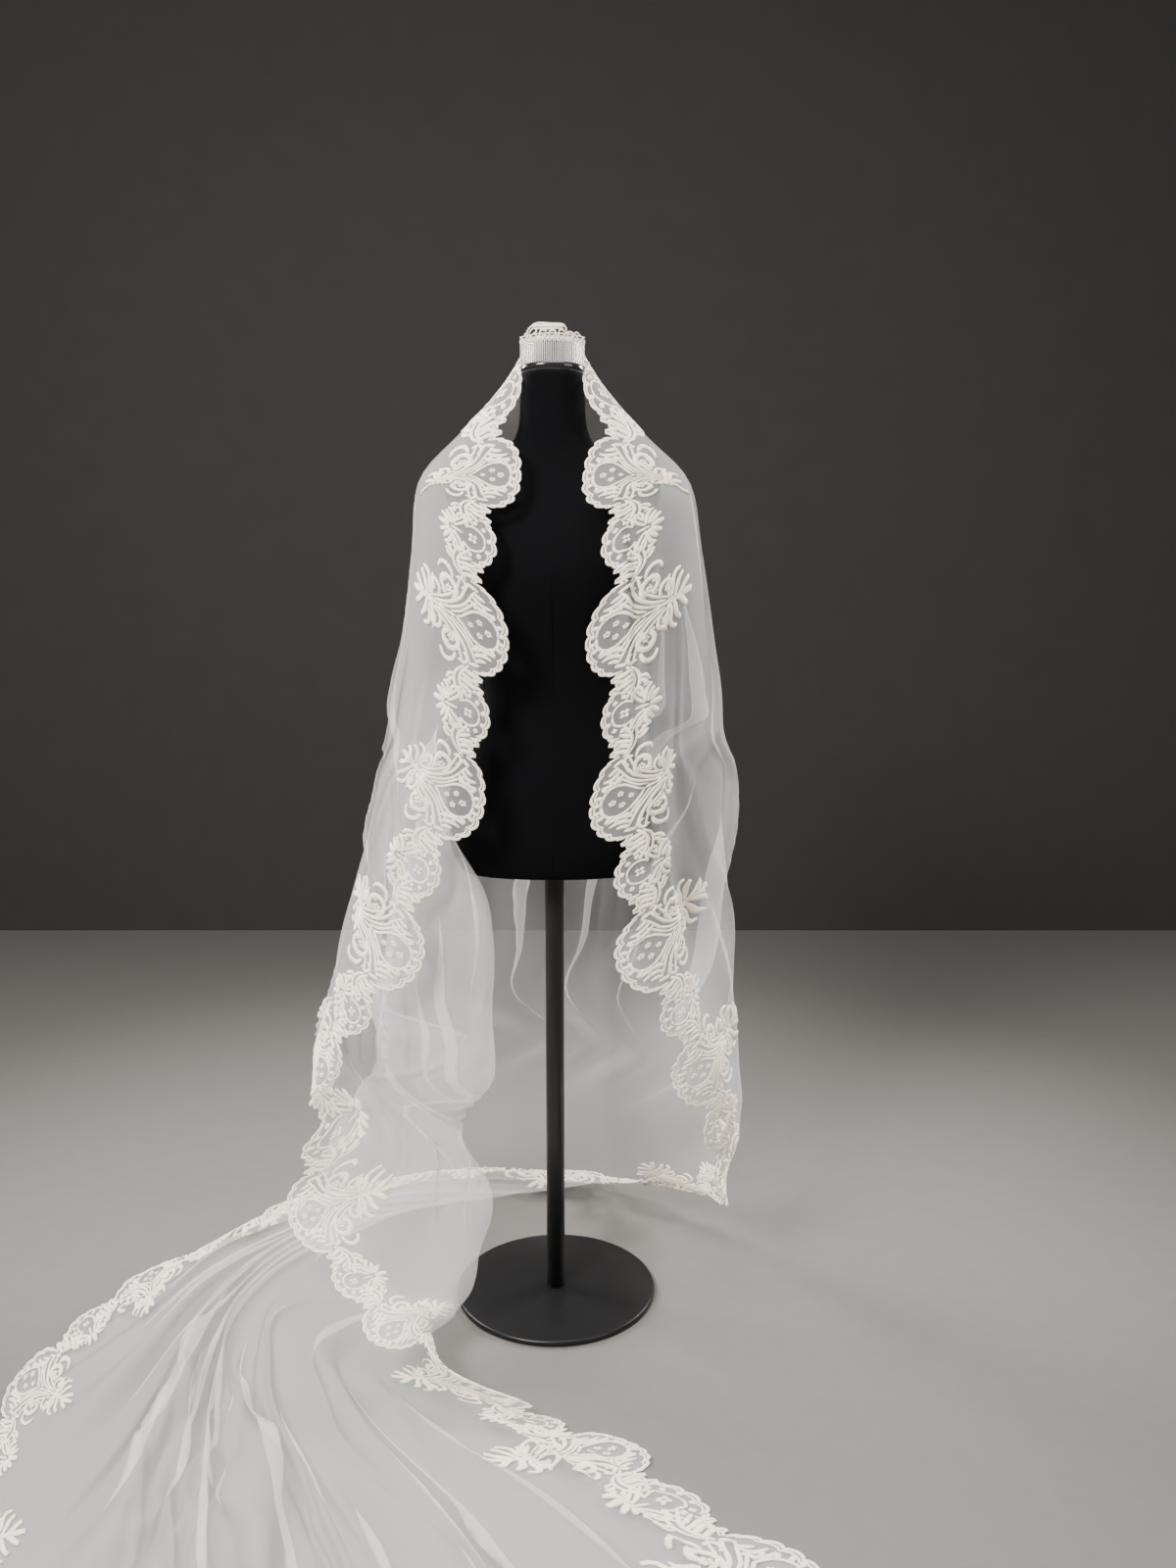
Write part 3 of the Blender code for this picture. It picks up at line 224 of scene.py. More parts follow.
# Section of a satin stroke: across (half widths) and height (share of its rise), front then back.
SECTION_ACROSS = np.array((-1.0, -0.5, 0.5, 1.0, 0.5, -0.5))
SECTION_DOME = np.array((0.0, 0.9, 0.9, 0.0, -0.5, -0.5))
STROKE_GAIN = 1.42  # how much fuller the satin strokes are than their drawn widths
SCROLL_POINTS = 11
FLOWER_TURN = 0.3
STITCH_SCALE = 100.0
LACE_COLOUR = (0.985, 0.905, 0.81)
# Darker peach tint for the low parts of the stitch texture, in the grooves between the threads:
# painted shade.
LACE_GROOVE_SHADE = (0.86, 0.75, 0.63)

# ---- net and narrow folds
# Beside the neck: how far the front edges are drawn in and forward, the drops between which that
# grows and fades, and the shares of the row between which it grows.
NECK_PULL = 0.024
NECK_FORWARD = 0.010
NECK_GROWS = (0.0, 0.09)
NECK_FADES = (0.13, 0.25)
NECK_SHARES = (0.40, 0.95)
NET_FLOOR = 0.0008
NET_ROW = 0.018
NET_COLUMN = 0.0046
NET_EDGE_CLEAR = 0.8  # columns between the edge and the next point of the net
NET_PITCH = 0.0016
NET_ALPHA = 0.19
NET_COLOUR = (0.91, 0.92, 0.93)
NET_THREAD = (0.96, 0.97, 0.98)
FOLD_GROWS = 0.25  # length over which a narrow fold grows
FOLD_FADES = 0.3
# Narrow folds. Columns: drops between which they lie, how many, places across between which they
# start (share), how far they drift across, range of half widths (share), of rises, and of how far
# they lie over (in their half width).
FINE_FOLDS = (
    (0.16, 1.45, 26, (-0.95, 0.95), (-0.06, 0.06), (0.012, 0.028), (0.003, 0.007), (1.25, 1.80)),
    (0.30, 1.50, 30, (-0.95, 0.95), (-0.06, 0.06), (0.014, 0.034), (0.003, 0.008), (0.0, 0.6)),
    (0.60, 1.60, 16, (-0.80, -0.35), (-0.04, 0.04), (0.010, 0.020), (0.004, 0.009), (1.20, 1.80)),
    (1.60, 3.10, 24, (-0.95, 0.95), (-0.10, 0.10), (0.012, 0.028), (0.003, 0.006), (1.20, 1.70)),
    (1.55, 3.15, 46, (-0.95, 0.95), (-0.10, 0.10), (0.020, 0.050), (0.004, 0.014), (0.0, 0.7)),
    (1.90, 3.00, 12, (-0.60, 0.20), (0.25, 0.60), (0.024, 0.045), (0.006, 0.012), (0.0, 0.4)),
    (1.90, 3.00, 10, (-0.20, 0.60), (-0.60, -0.25), (0.024, 0.045), (0.006, 0.012), (0.0, 0.4)),
    (0.07, 0.60, 22, (-0.90, 0.90), (-0.05, 0.05), (0.012, 0.030), (0.002, 0.005), (0.8, 1.6)),
)

# ---- strokes of the lace
# In millimetres, for the right side of each motif: half widths at the start, in the middle and at
# the end, then the points (u across from the motif's middle, v in from its tip), one by one.
LARGE_STROKES = (
    ((1.5, 1.7, 1.2), 0, 15, 14, 17, 25, 27, 27, 42, 18, 58, 5, 70, 0, 78),
    ((0.9, 2.2, 1.0), 66, 56, 54, 62, 38, 68, 24, 80, 12, 98, 5, 122),
    ((0.8, 1.8, 0.9), 58, 46, 46, 54, 31, 61, 19, 73, 8, 92, 3, 112),
    ((0.8, 1.8, 0.9), 73, 66, 60, 72, 43, 77, 28, 90, 16, 108, 8, 128),
    ((0.8, 1.6, 0.8), 44, 40, 36, 50, 24, 60, 12, 72, 4, 88),
    ((0.7, 2.4, 0.8), 56, 50, 51, 42, 49, 33),
    ((0.7, 2.6, 0.9), 50, 54, 43, 45, 40, 33, 42, 24),
    ((0.7, 2.6, 0.9), 40, 57, 34, 46, 31, 32, 34, 20),
    ((0.7, 2.2, 0.8), 64, 60, 62, 51, 60, 43),
    ((1.0, 2.8, 1.4), 58, 82, 69, 86, 75, 96, 72, 107, 62, 112),
    ((1.0, 3.8, 3.0), 2, 150, 7, 160, 14, 168, 20, 178),
    ((1.0, 3.4, 2.4), 2, 140, 13, 146, 24, 150, 34, 160),
    ((1.0, 3.2, 1.6), 3, 130, 17, 137, 30, 136, 41, 142, 43, 152),
    ((1.0, 2.2, 1.2), 4, 128, 18, 128, 32, 124, 42, 128),
    ((1.0, 1.6, 1.0), 2, 126, 3, 138, 2, 150),
)
LARGE_MIDDLE = (
    ((0.8, 1.8, 1.2), 0, 96, 0, 118, 0, 142),
    ((1.2, 4.0, 3.2), 0, 160, 0, 173, 0, 188),
    ((0.9, 1.4, 1.0), 0, 140, 0, 150, 0, 160),
    ((0.6, 1.6, 0.8), 0, 80, 0, 90, 0, 98),
)
# Scrolls. Columns: centre, radius, first and last angle in degrees, half width, shrink.
LARGE_SCROLLS = (
    ((41, 93), 18, -150, 150, 3.3, 0.60),
    ((25, 122), 13, -140, 140, 2.8, 0.60),
    ((60, 70), 9, -170, 40, 1.9, 0.70),
)
# Flowers beside the middle. Columns: centre, radius, petals.
LARGE_FLOWERS = (
    ((38, 90), 6.2, 5), ((49, 99), 4.6, 5), ((29, 101), 4.4, 5), ((24, 124), 5.4, 5),
    ((15, 134), 3.6, 5), ((10.5, 42.5), 4.8, 5), ((56, 96), 3.6, 5), ((34, 82), 3.2, 4),
)
# Rays of a drop-shaped lobe: its hub, their angles, inner and outer reach, how much further they
# reach at the side, half widths.
LARGE_RAYS = ((0, 42), (-78, -56, -34, -12, 10), 29, 36, 4, (1.6, 2.6, 1.8))
# Flowers on the middle. Columns: centre, radius, petals, turn.
LARGE_HEART = (((0, 30), 5.2, 5, 0.0), ((0, 56), 4.2, 5, 0.0))
SMALL_STROKES = (
    ((1.1, 1.4, 0.9), 0, 40, 10, 42, 17, 50, 19, 62, 13, 72),
    ((0.9, 2.0, 1.0), 34, 62, 26, 70, 14, 80, 5, 92),
    ((0.8, 1.6, 0.8), 40, 70, 30, 77, 18, 86, 8, 98),
    ((1.2, 3.4, 1.7), 4, 100, 11, 108, 17, 117),
    ((1.1, 3.2, 1.5), 5, 96, 15, 101, 25, 108),
    ((1.0, 2.8, 1.3), 6, 92, 18, 93, 29, 98, 32, 104),
)
SMALL_MIDDLE = (
    ((0.8, 1.7, 1.0), 0, 76, 0, 86, 0, 98),
    ((1.4, 3.8, 2.0), 0, 101, 0, 112, 0, 123),
)
SMALL_SCROLLS = (
    ((23, 80), 11, -140, 120, 2.1, 0.62),
    ((36, 88), 8, -120, 130, 1.6, 0.62),
)
SMALL_RAYS = ((0, 60), (-70, -35, -5), 24, 31, 0, (1.8, 2.8, 2.0))
SMALL_HEART = (((0, 59), 7.5, 4, math.pi / 4),)
# Strokes between a large motif and the next small one, from the large motif's middle.
BETWEEN_STROKES = (
    ((1.0, 2.2, 1.0), 68, 60, 82, 70, 96, 74, 110, 68, 122, 60),
    ((0.9, 1.8, 0.9), 72, 68, 84, 79, 98, 83, 112, 79, 124, 70),
    ((0.8, 2.8, 1.0), 76, 68, 79, 58, 82, 46),
    ((0.8, 2.8, 1.0), 84, 71, 88, 62, 91, 53),
    ((0.8, 2.8, 1.0), 92, 73, 96, 60, 100, 46),
    ((0.8, 2.4, 1.0), 100, 72, 105, 62, 110, 53),
    ((0.9, 2.2, 1.3), 92, 84, 96, 93, 104, 99),
    ((0.8, 1.9, 1.1), 98, 86, 106, 92, 112, 102),
)
# Strokes of the flap folded up above the comb, in millimetres above the spine's top.
FLAP_STROKES = (
    ((0.9, 1.3, 0.9), -36, 3, -37, 8, -33, 13, -27, 17, -10, 17, 6, 16, 18, 15, 21, 11, 20, 4),
    ((1.0, 2.6, 1.2), -29, 15, -18, 14, -6, 13, 8, 13, 18, 13),
    ((0.8, 1.5, 0.8), -24, 11, -12, 9, 0, 9, 12, 10),
    ((0.7, 1.2, 0.8), -34, 5, -30, 10, -25, 11, -23, 6, -28, 4),
    ((0.7, 1.6, 0.8), -18, 4, -14, 8, -8, 5),
    ((0.7, 1.8, 0.8), -4, 4, 1, 7, 6, 4),
    ((0.7, 1.6, 0.8), 10, 4, 14, 9, 18, 5),
    ((0.7, 1.2, 0.7), 21, 3, 26, 6, 32, 4),
    ((0.7, 1.1, 0.7), 32, 4, 37, 7, 41, 3),
    ((0.7, 1.1, 0.7), -41, 3, -39, 6, -36, 4),
)

# ---- studio
FLOOR_Z = -0.0002
FLOOR = ((-6, -5, FLOOR_Z), (6, -5, FLOOR_Z), (6, 3, FLOOR_Z), (-6, 3, FLOOR_Z))
WALL = ((-6, 2.4, FLOOR_Z), (6, 2.4, FLOOR_Z), (6, 2.4, 6), (-6, 2.4, 6))
CAMERA_LENS = 27.05
CAMERA_PLACE = (0.054, -1.86, 1.10)
CAMERA_TILT = 7.4
LIGHT_COLOUR = (1.0, 0.965, 0.92)
WORLD_COLOUR = (0.80, 0.79, 0.78, 1.0)
WORLD_STRENGTH = 0.20
# Area lights. Columns: name, place, aim, size, power, spread in degrees.
LIGHTS = (
    ("key", (-1.7, -2.6, 2.9), (-0.05, 0.0, 0.8), 1.2, 275, 180.0),
    ("fill", (2.4, -2.2, 1.9), (0.0, 0.0, 0.7), 1.8, 45, 180.0),
    ("rim_left", (-2.2, 1.2, 2.2), (0.0, 0.0, 0.8), 1.0, 40, 80.0),
    ("rim_right", (2.0, 1.3, 2.0), (0.0, 0.0, 0.8), 1.0, 35, 80.0),
    ("top", (0.0, -0.4, 3.4), (-0.1, -0.3, 0.0), 1.2, 50, 180.0),
)


# ---- curves
def unit(vectors):
    return vectors / np.maximum(np.linalg.norm(vectors, axis=-1, keepdims=True), 1e-12)


def natural_spline(knots, points, at):
    """Natural cubic through points (one per knot), read at the values `at`."""
    count = len(knots)
    step = np.diff(knots)
    slope = np.diff(points, axis=0) / step[:, None]
    system = np.eye(count)
    load = np.zeros_like(points)
    for i in range(1, count - 1):
        system[i, i - 1:i + 2] = step[i - 1], 2 * (step[i - 1] + step[i]), step[i]
        load[i] = 6 * (slope[i] - slope[i - 1])
    bend = np.linalg.solve(system, load)
    i = np.clip(np.searchsorted(knots, at, side="right") - 1, 0, count - 2)
    t = (at - knots[i])[:, None]
    h = step[i][:, None]
    start = slope[i] - h * (2 * bend[i] + bend[i + 1]) / 6
    return points[i] + t * start + t ** 2 * bend[i] / 2 + t ** 3 * (bend[i + 1] - bend[i]) / (6 * h)


def distances(points):
    """Distance of each point from the first one along the line."""
    return np.concatenate(([0.0], np.cumsum(np.linalg.norm(np.diff(points, axis=0), axis=1))))


def evenly(points, count):
    """The same curve with `count` points at equal distances."""
    run = distances(points)
    at = np.linspace(0.0, run[-1], count)
    return np.stack([np.interp(at, run, column) for column in points.T], axis=1)


def through(anchors):
    """Smooth curve close to a few anchors, with COLUMNS even points."""
    anchors = np.array(anchors, float)
    knots = np.concatenate(([0.0], np.cumsum(np.diff(distances(anchors)) ** 0.5)))
    dense = natural_spline(knots, anchors, np.linspace(0.0, knots[-1], 3 * COLUMNS))
    curve = evenly(dense, COLUMNS)
    for _ in range(ROUNDING):
        curve[1:-1] = (curve[:-2] + 2 * curve[1:-1] + curve[2:]) / 4
    return evenly(curve, COLUMNS)


def along_drop(knots, rows, at):
    """Rows blended smoothly from one section to the next."""
    step = np.diff(knots)
    slope = np.diff(rows, axis=0) / step[:, None, None]
    before = step[:-1, None, None]
    after = step[1:, None, None]
    inner = (after * slope[:-1] + before * slope[1:]) / (after + before)
    tangent = np.concatenate((slope[:1], inner, slope[-1:]))
    i = np.clip(np.searchsorted(knots, at, side="right") - 1, 0, len(knots) - 2)
    h = step[i][:, None, None]
    t = ((at - knots[i]) / step[i])[:, None, None]
    ahead = t * t * (3 - 2 * t)
    return (rows[i] * (1 - ahead) + rows[i + 1] * ahead
            + h * t * (1 - t) * ((1 - t) * tangent[i] - t * tangent[i + 1]))


def ramp(value, start, full):
    """Smooth step from 0 at `start` to 1 at `full`."""
    t = np.clip((value - start) / (full - start), 0.0, 1.0)
    return t * t * (3 - 2 * t)


# ---- drape
def comb_line(x):
    """Point on the middle of the comb's top edge at a place across it."""
    out = (x / COMB_HALF_WIDTH) ** 2
    return np.array((x, -COMB_BOW * (1 - out) - COMB_BACK,
                     COMB_SPINE_TOP_Z + COMB_CROWN * (1 - out)))


def blend(plain, pleated, share):
    return plain * (1 - share) + pleated * share


def cape_section(row, pleat):
    """Anchors of one section of the cape, from the left front edge round the back to the right."""
    _, z_front, z_side, z_back, x_l_edge, x_l, x_r, x_r_edge, y_edge, y_side, y_back = row
    _, left_open, fold_x, fold_y, right_open, ridge_x, ridge_y, valley_x, valley_y = pleat

    def ring(side, degrees):
        """Plain section: 90 at the front edge, 0 at the side, -90 in the middle of the back."""
        turn = math.radians(degrees)
        x_side, x_edge = (x_l, x_l_edge) if side < 0 else (x_r, x_r_edge)
        x_end, y_end, z_end = x_edge, y_edge, z_front
        if degrees < 0:
            x_end, y_end, z_end = (x_l + x_r) / 2, y_back, z_back
        across = math.cos(turn)
        forward = abs(math.sin(turn))
        return np.array((x_end + (x_side - x_end) * across,
                         y_side + (y_end - y_side) * forward,
                         z_side + (z_end - z_side) * forward ** 2))

    fold = np.array((fold_x, fold_y, blend(z_side, z_front, 0.6)))
    turn = ring(-1, -12)
    before_fold = blend(turn, fold, 0.5) + np.array((-0.022, -0.040, 0.0))
    after_fold = blend(ring(-1, -40), fold, 0.5) + np.array((-0.034, -0.016, 0.0))
    ridge = np.array((ridge_x, ridge_y, z_front))
    valley = np.array((valley_x, valley_y, z_front))
    left = ((12, ring(-1, 4)), (3, turn), (-5, before_fold), (-12, fold + FOLD_FRONT),
            (-17, fold + FOLD_BACK), (-26, after_fold))
    right = ((20, blend(ring(1, 8), valley, 0.5)), (38, valley), (56, ridge))
    return ([ring(-1, place) for place in (90, 66, 44, 24)]
            + [blend(ring(-1, place), opened, left_open) for place, opened in left]
            + [ring(-1, place) for place in (-40, -58, -76)]
            + [ring(1, place) for place in (-90, -60, -30, 0)]
            + [blend(ring(1, place), opened, right_open) for place, opened in right]
            + [ring(1, 76), ring(1, 90)])


def sections():
    """Drops and rows of the veil's sections, from the comb down to the end of the train."""
    lift = np.array((0.0, 0.0, VEIL_LIFT))
    drops = [0.0]
    rows = [through([comb_line(x) + lift for x in np.linspace(-1, 1, 7) * COMB_HALF_WIDTH])]
    for row in CAPE:
        pleat = [np.interp(row[0], PLEATS[:, 0], column) for column in PLEATS.T]
        drops.append(row[0])
        rows.append(through(cape_section(row, pleat)))
    for row in SWEEP:
        drops.append(row[0] / 1000)
        rows.append(through(np.array([(*point, 0)[:3] for point in row[1:]]) / 1000))
    return np.array(drops), np.array(rows)


def outward(lattice):
    """Unit normals of the lattice, pointing to the right side of the cloth."""
    return unit(np.cross(np.gradient(lattice, axis=1), np.gradient(lattice, axis=0)))


def shares(lattice):
    """Places of the lattice's columns, from -1 at the left edge to 1 at the right one."""
    return np.linspace(-1.0, 1.0, lattice.shape[1])[None, :]


def crest(share, line, half, strength):
    """Rise (0 to 1) of a rounded fold that runs along `line`."""
    near = np.clip(np.abs(share - line) / half, 0.0, 1.0)
    return strength[:, None] * np.cos(near * math.pi / 2) ** 2


def drape_lattice():
    """Points and normals of the hanging veil, by drop (rows) and share (columns)."""
    drops = np.arange(0.0, VEIL_LENGTH + DROP_STEP / 2, DROP_STEP)
    lattice = along_drop(*sections(), drops)
    lattice = np.array([evenly(row, COLUMNS) for row in lattice])
    height = np.zeros(lattice.shape[:2])
    for at_start, at_end, half_width, rise, start, full, fading, end in FOLDS:
        middle = at_start + (at_end - at_start) * (drops[:, None] - start) / (end - start)
        strength = ramp(drops, start, full) * (1 - ramp(drops, fading, end))
        height += rise * crest(shares(lattice), middle, half_width, strength)
    lattice = lattice + outward(lattice) * height[:, :, None]
    lattice[:, :, 2] = np.maximum(lattice[:, :, 2], 0.0)
    return drops, lattice, outward(lattice)


DROPS, LATTICE, NORMALS = drape_lattice()


def half_width(drop):
    return np.interp(drop, HALF_WIDTH[:, 0], HALF_WIDTH[:, 1])


# ---- flat cut
def cut_point(reach, drop):
    """Point of the flat cut at a distance along its row, measured from the middle."""
    turn = max(abs(reach) - COMB_HALF_WIDTH, 0.0) / drop if drop > 0 else 0.0
    side = math.copysign(COMB_HALF_WIDTH + drop * math.sin(turn), reach) if turn > 0 else reach
    return side, drop * math.cos(turn)


def cut_edge():
    """Outline of the flat cut from the left end of the comb round the train to its right end."""
    end = VEIL_LENGTH - END_ROUNDING_FROM
    drops = np.concatenate((np.linspace(0.0, END_ROUNDING_FROM, 160),
                            VEIL_LENGTH - end * np.linspace(1.0, 0.0, 120)[1:] ** 2))
    left = []
    for drop in drops:
        ended = max(drop - END_ROUNDING_FROM, 0.0) / end
        reach = half_width(drop) * max(1 - ended ** END_SQUARENESS, 0.0) ** (1 / END_SQUARENESS)
        left.append(cut_point(-reach, drop))
    right = [(-x, y) for x, y in left[-2::-1]]
    return np.array(left + right)


def measured_edge():
    """Distances along the outline, then its x and y and those of the direction to the inside."""
    outline = cut_edge()
    at = np.linspace(0.0, distances(outline)[-1], EDGE_POINTS)
    points = evenly(outline, EDGE_POINTS)
    window = np.hanning(EDGE_SMOOTHING)
    window /= window.sum()
    padded = np.pad(np.gradient(points, axis=0), ((EDGE_SMOOTHING // 2,) * 2, (0, 0)), mode="edge")
    even = np.stack([np.convolve(column, window, mode="valid") for column in padded.T], axis=1)
    x, y = unit(even).T
    inward = np.stack((y, -x), axis=1)
    from_comb = np.minimum(at, at[-1] - at)
    inward += (1 - ramp(from_comb, 0.0, COMB_FAN))[:, None] * (np.array((0.0, 1.0)) - inward)
    return np.concatenate((at[None, :], points.T, unit(inward).T))


EDGE = measured_edge()
EDGE_LENGTH = EDGE[0, -1]
HALVES = 2 * round((EDGE_LENGTH + 2 * COMB_HALF_WIDTH) / LACE_REPEAT)
HALF_REPEAT = (EDGE_LENGTH + 2 * COMB_HALF_WIDTH) / HALVES


def on_edge(line):
    """Flat-cut points of a line of (along, inset) points."""
    along, inset = np.asarray(line, float).T
    x, y, to_x, to_y = (np.interp(along, EDGE[0], column) for column in EDGE[1:])
    return np.stack((x + inset * to_x, y + inset * to_y), axis=1)


def inside(points, loop):
    """Whether each point lies inside a closed line."""
    crossings = np.zeros(len(points), int)
    x, y = points.T
    for (x0, y0), (x1, y1) in zip(loop, np.roll(loop, -1, axis=0)):
        spans = (y0 > y) != (y1 > y)
        if spans.any():
            crossings += spans & (x < x0 + (y - y0) * (x1 - x0) / (y1 - y0))
    return crossings % 2 == 1


def away_from(points, loop, distance):
    """Whether each point is at least a distance from a closed line."""
    nearest = np.full(len(points), np.inf)
    for a, b in zip(loop, np.roll(loop, -1, axis=0)):
        span = b - a
        t = np.clip((points - a) @ span / max(span @ span, 1e-12), 0.0, 1.0)
        nearest = np.minimum(nearest, np.linalg.norm(points - a - t[:, None] * span, axis=1))
    return nearest > distance


def triangles(loop, extra):
    """Points and triangles inside a closed line, through its points and the extra ones."""
    points = [tuple(point) for point in np.concatenate((loop, extra))]
    edges = [(i, (i + 1) % len(loop)) for i in range(len(loop))]
    found, _, faces, _, _, _ = delaunay_2d_cdt(points, edges, [], 0, 1e-7)
    flat = np.array([tuple(point) for point in found])
    centres = np.array([flat[list(face)].mean(axis=0) for face in faces])
    kept = [list(face) for face, keep in zip(faces, inside(centres, loop)) if keep]
    for face in kept:
        if signed_area(flat[face]) < 0:
            face.reverse()
    return flat, kept


def signed_area(loop):
    x, y = loop.T
    return (x * np.roll(y, -1) - np.roll(x, -1) * y).sum() / 2


# ---- fine folds
def closer(lattice):
    """The lattice with twice as many columns."""
    twice = np.repeat(lattice, 2, axis=1)
    return (twice[:, :-1] + twice[:, 1:]) / 2


def fine_folds(lattice, drops):
    """The drape with narrow folds, uneven and seeded; some lie over so that the net doubles."""
    share = shares(lattice)
    normal = outward(lattice)
    across = unit(np.gradient(lattice, axis=1))
    row_half = np.linalg.norm(np.diff(lattice, axis=1), axis=2).sum(axis=1)[:, None] / 2
    height = np.zeros(lattice.shape[:2])
    shift = np.zeros(lattice.shape[:2])
    for first, last, count, *ranges in FINE_FOLDS:
        for _ in range(count):
            start = RANDOM.uniform(first, blend(first, last, 0.5))
            end = RANDOM.uniform(blend(first, last, 0.6), last)
            middle, drift, half, rise, lean = (RANDOM.uniform(*ends) for ends in ranges)
            lean *= RANDOM.choice((-1.0, 1.0))
            line = middle + drift * (drops[:, None] - start) / (end - start)
            growing = ramp(drops, start, start + FOLD_GROWS)
            bump = crest(share, line, half, growing * (1 - ramp(drops, end - FOLD_FADES, end)))
            height += rise * bump
            shift += lean * half * bump
    inner = ramp(1 - np.abs(share), BORDER_SHARE, 2 * BORDER_SHARE)
    shift = shift * inner * row_half
    lattice = lattice + normal * height[:, :, None] + across * shift[:, :, None]
    lattice[:, :, 2] = np.maximum(lattice[:, :, 2], NET_FLOOR)
    return lattice, normal


def hugging(lattice, drops):
    """The drape with its front edges drawn in beside the neck, where the small motifs lie."""
    share = shares(lattice)
    strength = ramp(drops, *NECK_GROWS)[:, None] * (1 - ramp(drops, *NECK_FADES))[:, None]
    pull = strength * ramp(np.abs(share), *NECK_SHARES)
    lattice = lattice.copy()
    lattice[:, :, 0] -= np.sign(share) * NECK_PULL * pull
    lattice[:, :, 1] -= NECK_FORWARD * pull
    return lattice


LATTICE, NORMALS = fine_folds(hugging(closer(LATTICE), DROPS), DROPS)


def drape_all(flat):
    """World points and outward normals of many points of the flat cut."""
    across, down = np.asarray(flat, float).T
    side = np.maximum(np.abs(across) - COMB_HALF_WIDTH, 0.0)
    drop = np.hypot(side, down)
    reach = np.where(side == 0, np.abs(across), COMB_HALF_WIDTH + drop * np.arctan2(side, down))
    share = np.sign(across) * np.minimum(reach / half_width(drop), 1.0)
    row = np.minimum(drop, VEIL_LENGTH) / DROP_STEP
    columns = LATTICE.shape[1]
    column = (share + 1) / 2 * (columns - 1)
    r = np.minimum(row.astype(int), len(DROPS) - 2)
    c = np.minimum(column.astype(int), columns - 2)
    u = (row - r)[:, None]
    v = (column - c)[:, None]
    points, normals = (grid[r, c] * (1 - u) * (1 - v) + grid[r, c + 1] * (1 - u) * v
                       + grid[r + 1, c] * u * (1 - v) + grid[r + 1, c + 1] * u * v
                       for grid in (LATTICE, NORMALS))
    return points, unit(normals)


# ---- materials
def put(node, **values):
    """Sets constants on a node's inputs; underscores stand for spaces."""
    for socket, value in values.items():
        node.inputs[socket.replace("_", " ")].default_value = value


def surface_of(name, colour, roughness, texture, tints, relief=None, **values):
    """Principled material whose tint, and relief if any, follow one fine texture.

    texture: kind of node, its coordinates in metres, its output, its settings and its inputs.
    tints: at its low and its high values. relief: distance and strength.
    """
    made = bpy.data.materials.new(name)
    made.use_nodes = True
    tree = made.node_tree
    shader = tree.nodes["Principled BSDF"]
    put(shader, Base_Color=(*colour, 1.0), Roughness=roughness, **values)
    kind, place, output, kind_settings, settings = texture
    coordinates = tree.nodes.new("ShaderNodeTexCoord")
    grain = tree.nodes.new(kind)
    for key, value in kind_settings.items():
        setattr(grain, key, value)
    put(grain, **settings)
    tree.links.new(coordinates.outputs[place], grain.inputs["Vector"])
    mix = tree.nodes.new("ShaderNodeMix")
    mix.data_type = "RGBA"
    put(mix, A=(*tints[0], 1.0), B=(*tints[1], 1.0))
    tree.links.new(grain.outputs[output], mix.inputs["Factor"])
    tree.links.new(mix.outputs["Result"], shader.inputs["Base Color"])
    if relief:
        bump = tree.nodes.new("ShaderNodeBump")
        put(bump, Distance=relief[0], Strength=relief[1])
        tree.links.new(grain.outputs[output], bump.inputs["Height"])
        tree.links.new(bump.outputs["Normal"], shader.inputs["Normal"])
    return made


def speckle(scale, detail):
    """Fine noise in metres."""
    return "ShaderNodeTexNoise", "Object", "Fac", {}, {"Scale": scale, "Detail": detail}


NET_CELLS = ("ShaderNodeTexVoronoi", "UV", "Distance", {"feature": "DISTANCE_TO_EDGE"},
             {"Scale": 1 / NET_PITCH})
STITCHES = ("ShaderNodeTexWave", "UV", "Fac", {"bands_direction": "X"},
            {"Scale": STITCH_SCALE, "Distortion": 1.2})


def lacquer(name, roughness, metallic):
    return surface_of(name, (0.012, 0.012, 0.013), roughness, speckle(260.0, 2.0),
                      ((0.008, 0.008, 0.009), (0.020, 0.020, 0.021)), (0.0001, 0.4),
                      Metallic=metallic)


# ---- meshes
def placed(name, data):
    made = bpy.data.objects.new(name, data)
    bpy.context.scene.collection.objects.link(made)
    return made


def add_mesh(name, points, faces, surface, uv=None):
    mesh = bpy.data.meshes.new(name)
    mesh.from_pydata([tuple(point) for point in points], [], [tuple(face) for face in faces])
    mesh.materials.append(surface)
    if uv is not None:
        layer = mesh.uv_layers.new(name="UVMap")
        corners = np.zeros(len(mesh.loops), int)
        mesh.loops.foreach_get("vertex_index", corners)
        layer.data.foreach_set("uv", np.asarray(uv, float)[corners].ravel())
    mesh.shade_smooth()
    return placed(name, mesh)


def turned(profile, sides):
    """Rings of points round the upright axis from (radius, height) points."""
    turns = np.linspace(0, 2 * math.pi, sides, endpoint=False)
    return np.array([(radius * math.cos(turn), radius * math.sin(turn), z)
                     for radius, z in profile for turn in turns])


def tube_faces(levels, sides, base=0):
    """Faces of a closed tube of rings whose points begin at `base`."""
    last = base + (levels - 1) * sides
    faces = [range(base + sides - 1, base - 1, -1), range(last, last + sides)]
    for low in range(base, last, sides):
        faces += [(low + i, low + (i + 1) % sides, low + sides + (i + 1) % sides, low + sides + i)
                  for i in range(sides)]
    return faces


# ---- hem line
def scallop(t, lobes):
    """Height of the scallops (0 to 1) and the turn round the motif, at a share of its side."""
    return abs(math.cos(math.pi * t * lobes)) ** SCALLOP_SHARPNESS, t * math.pi / 2


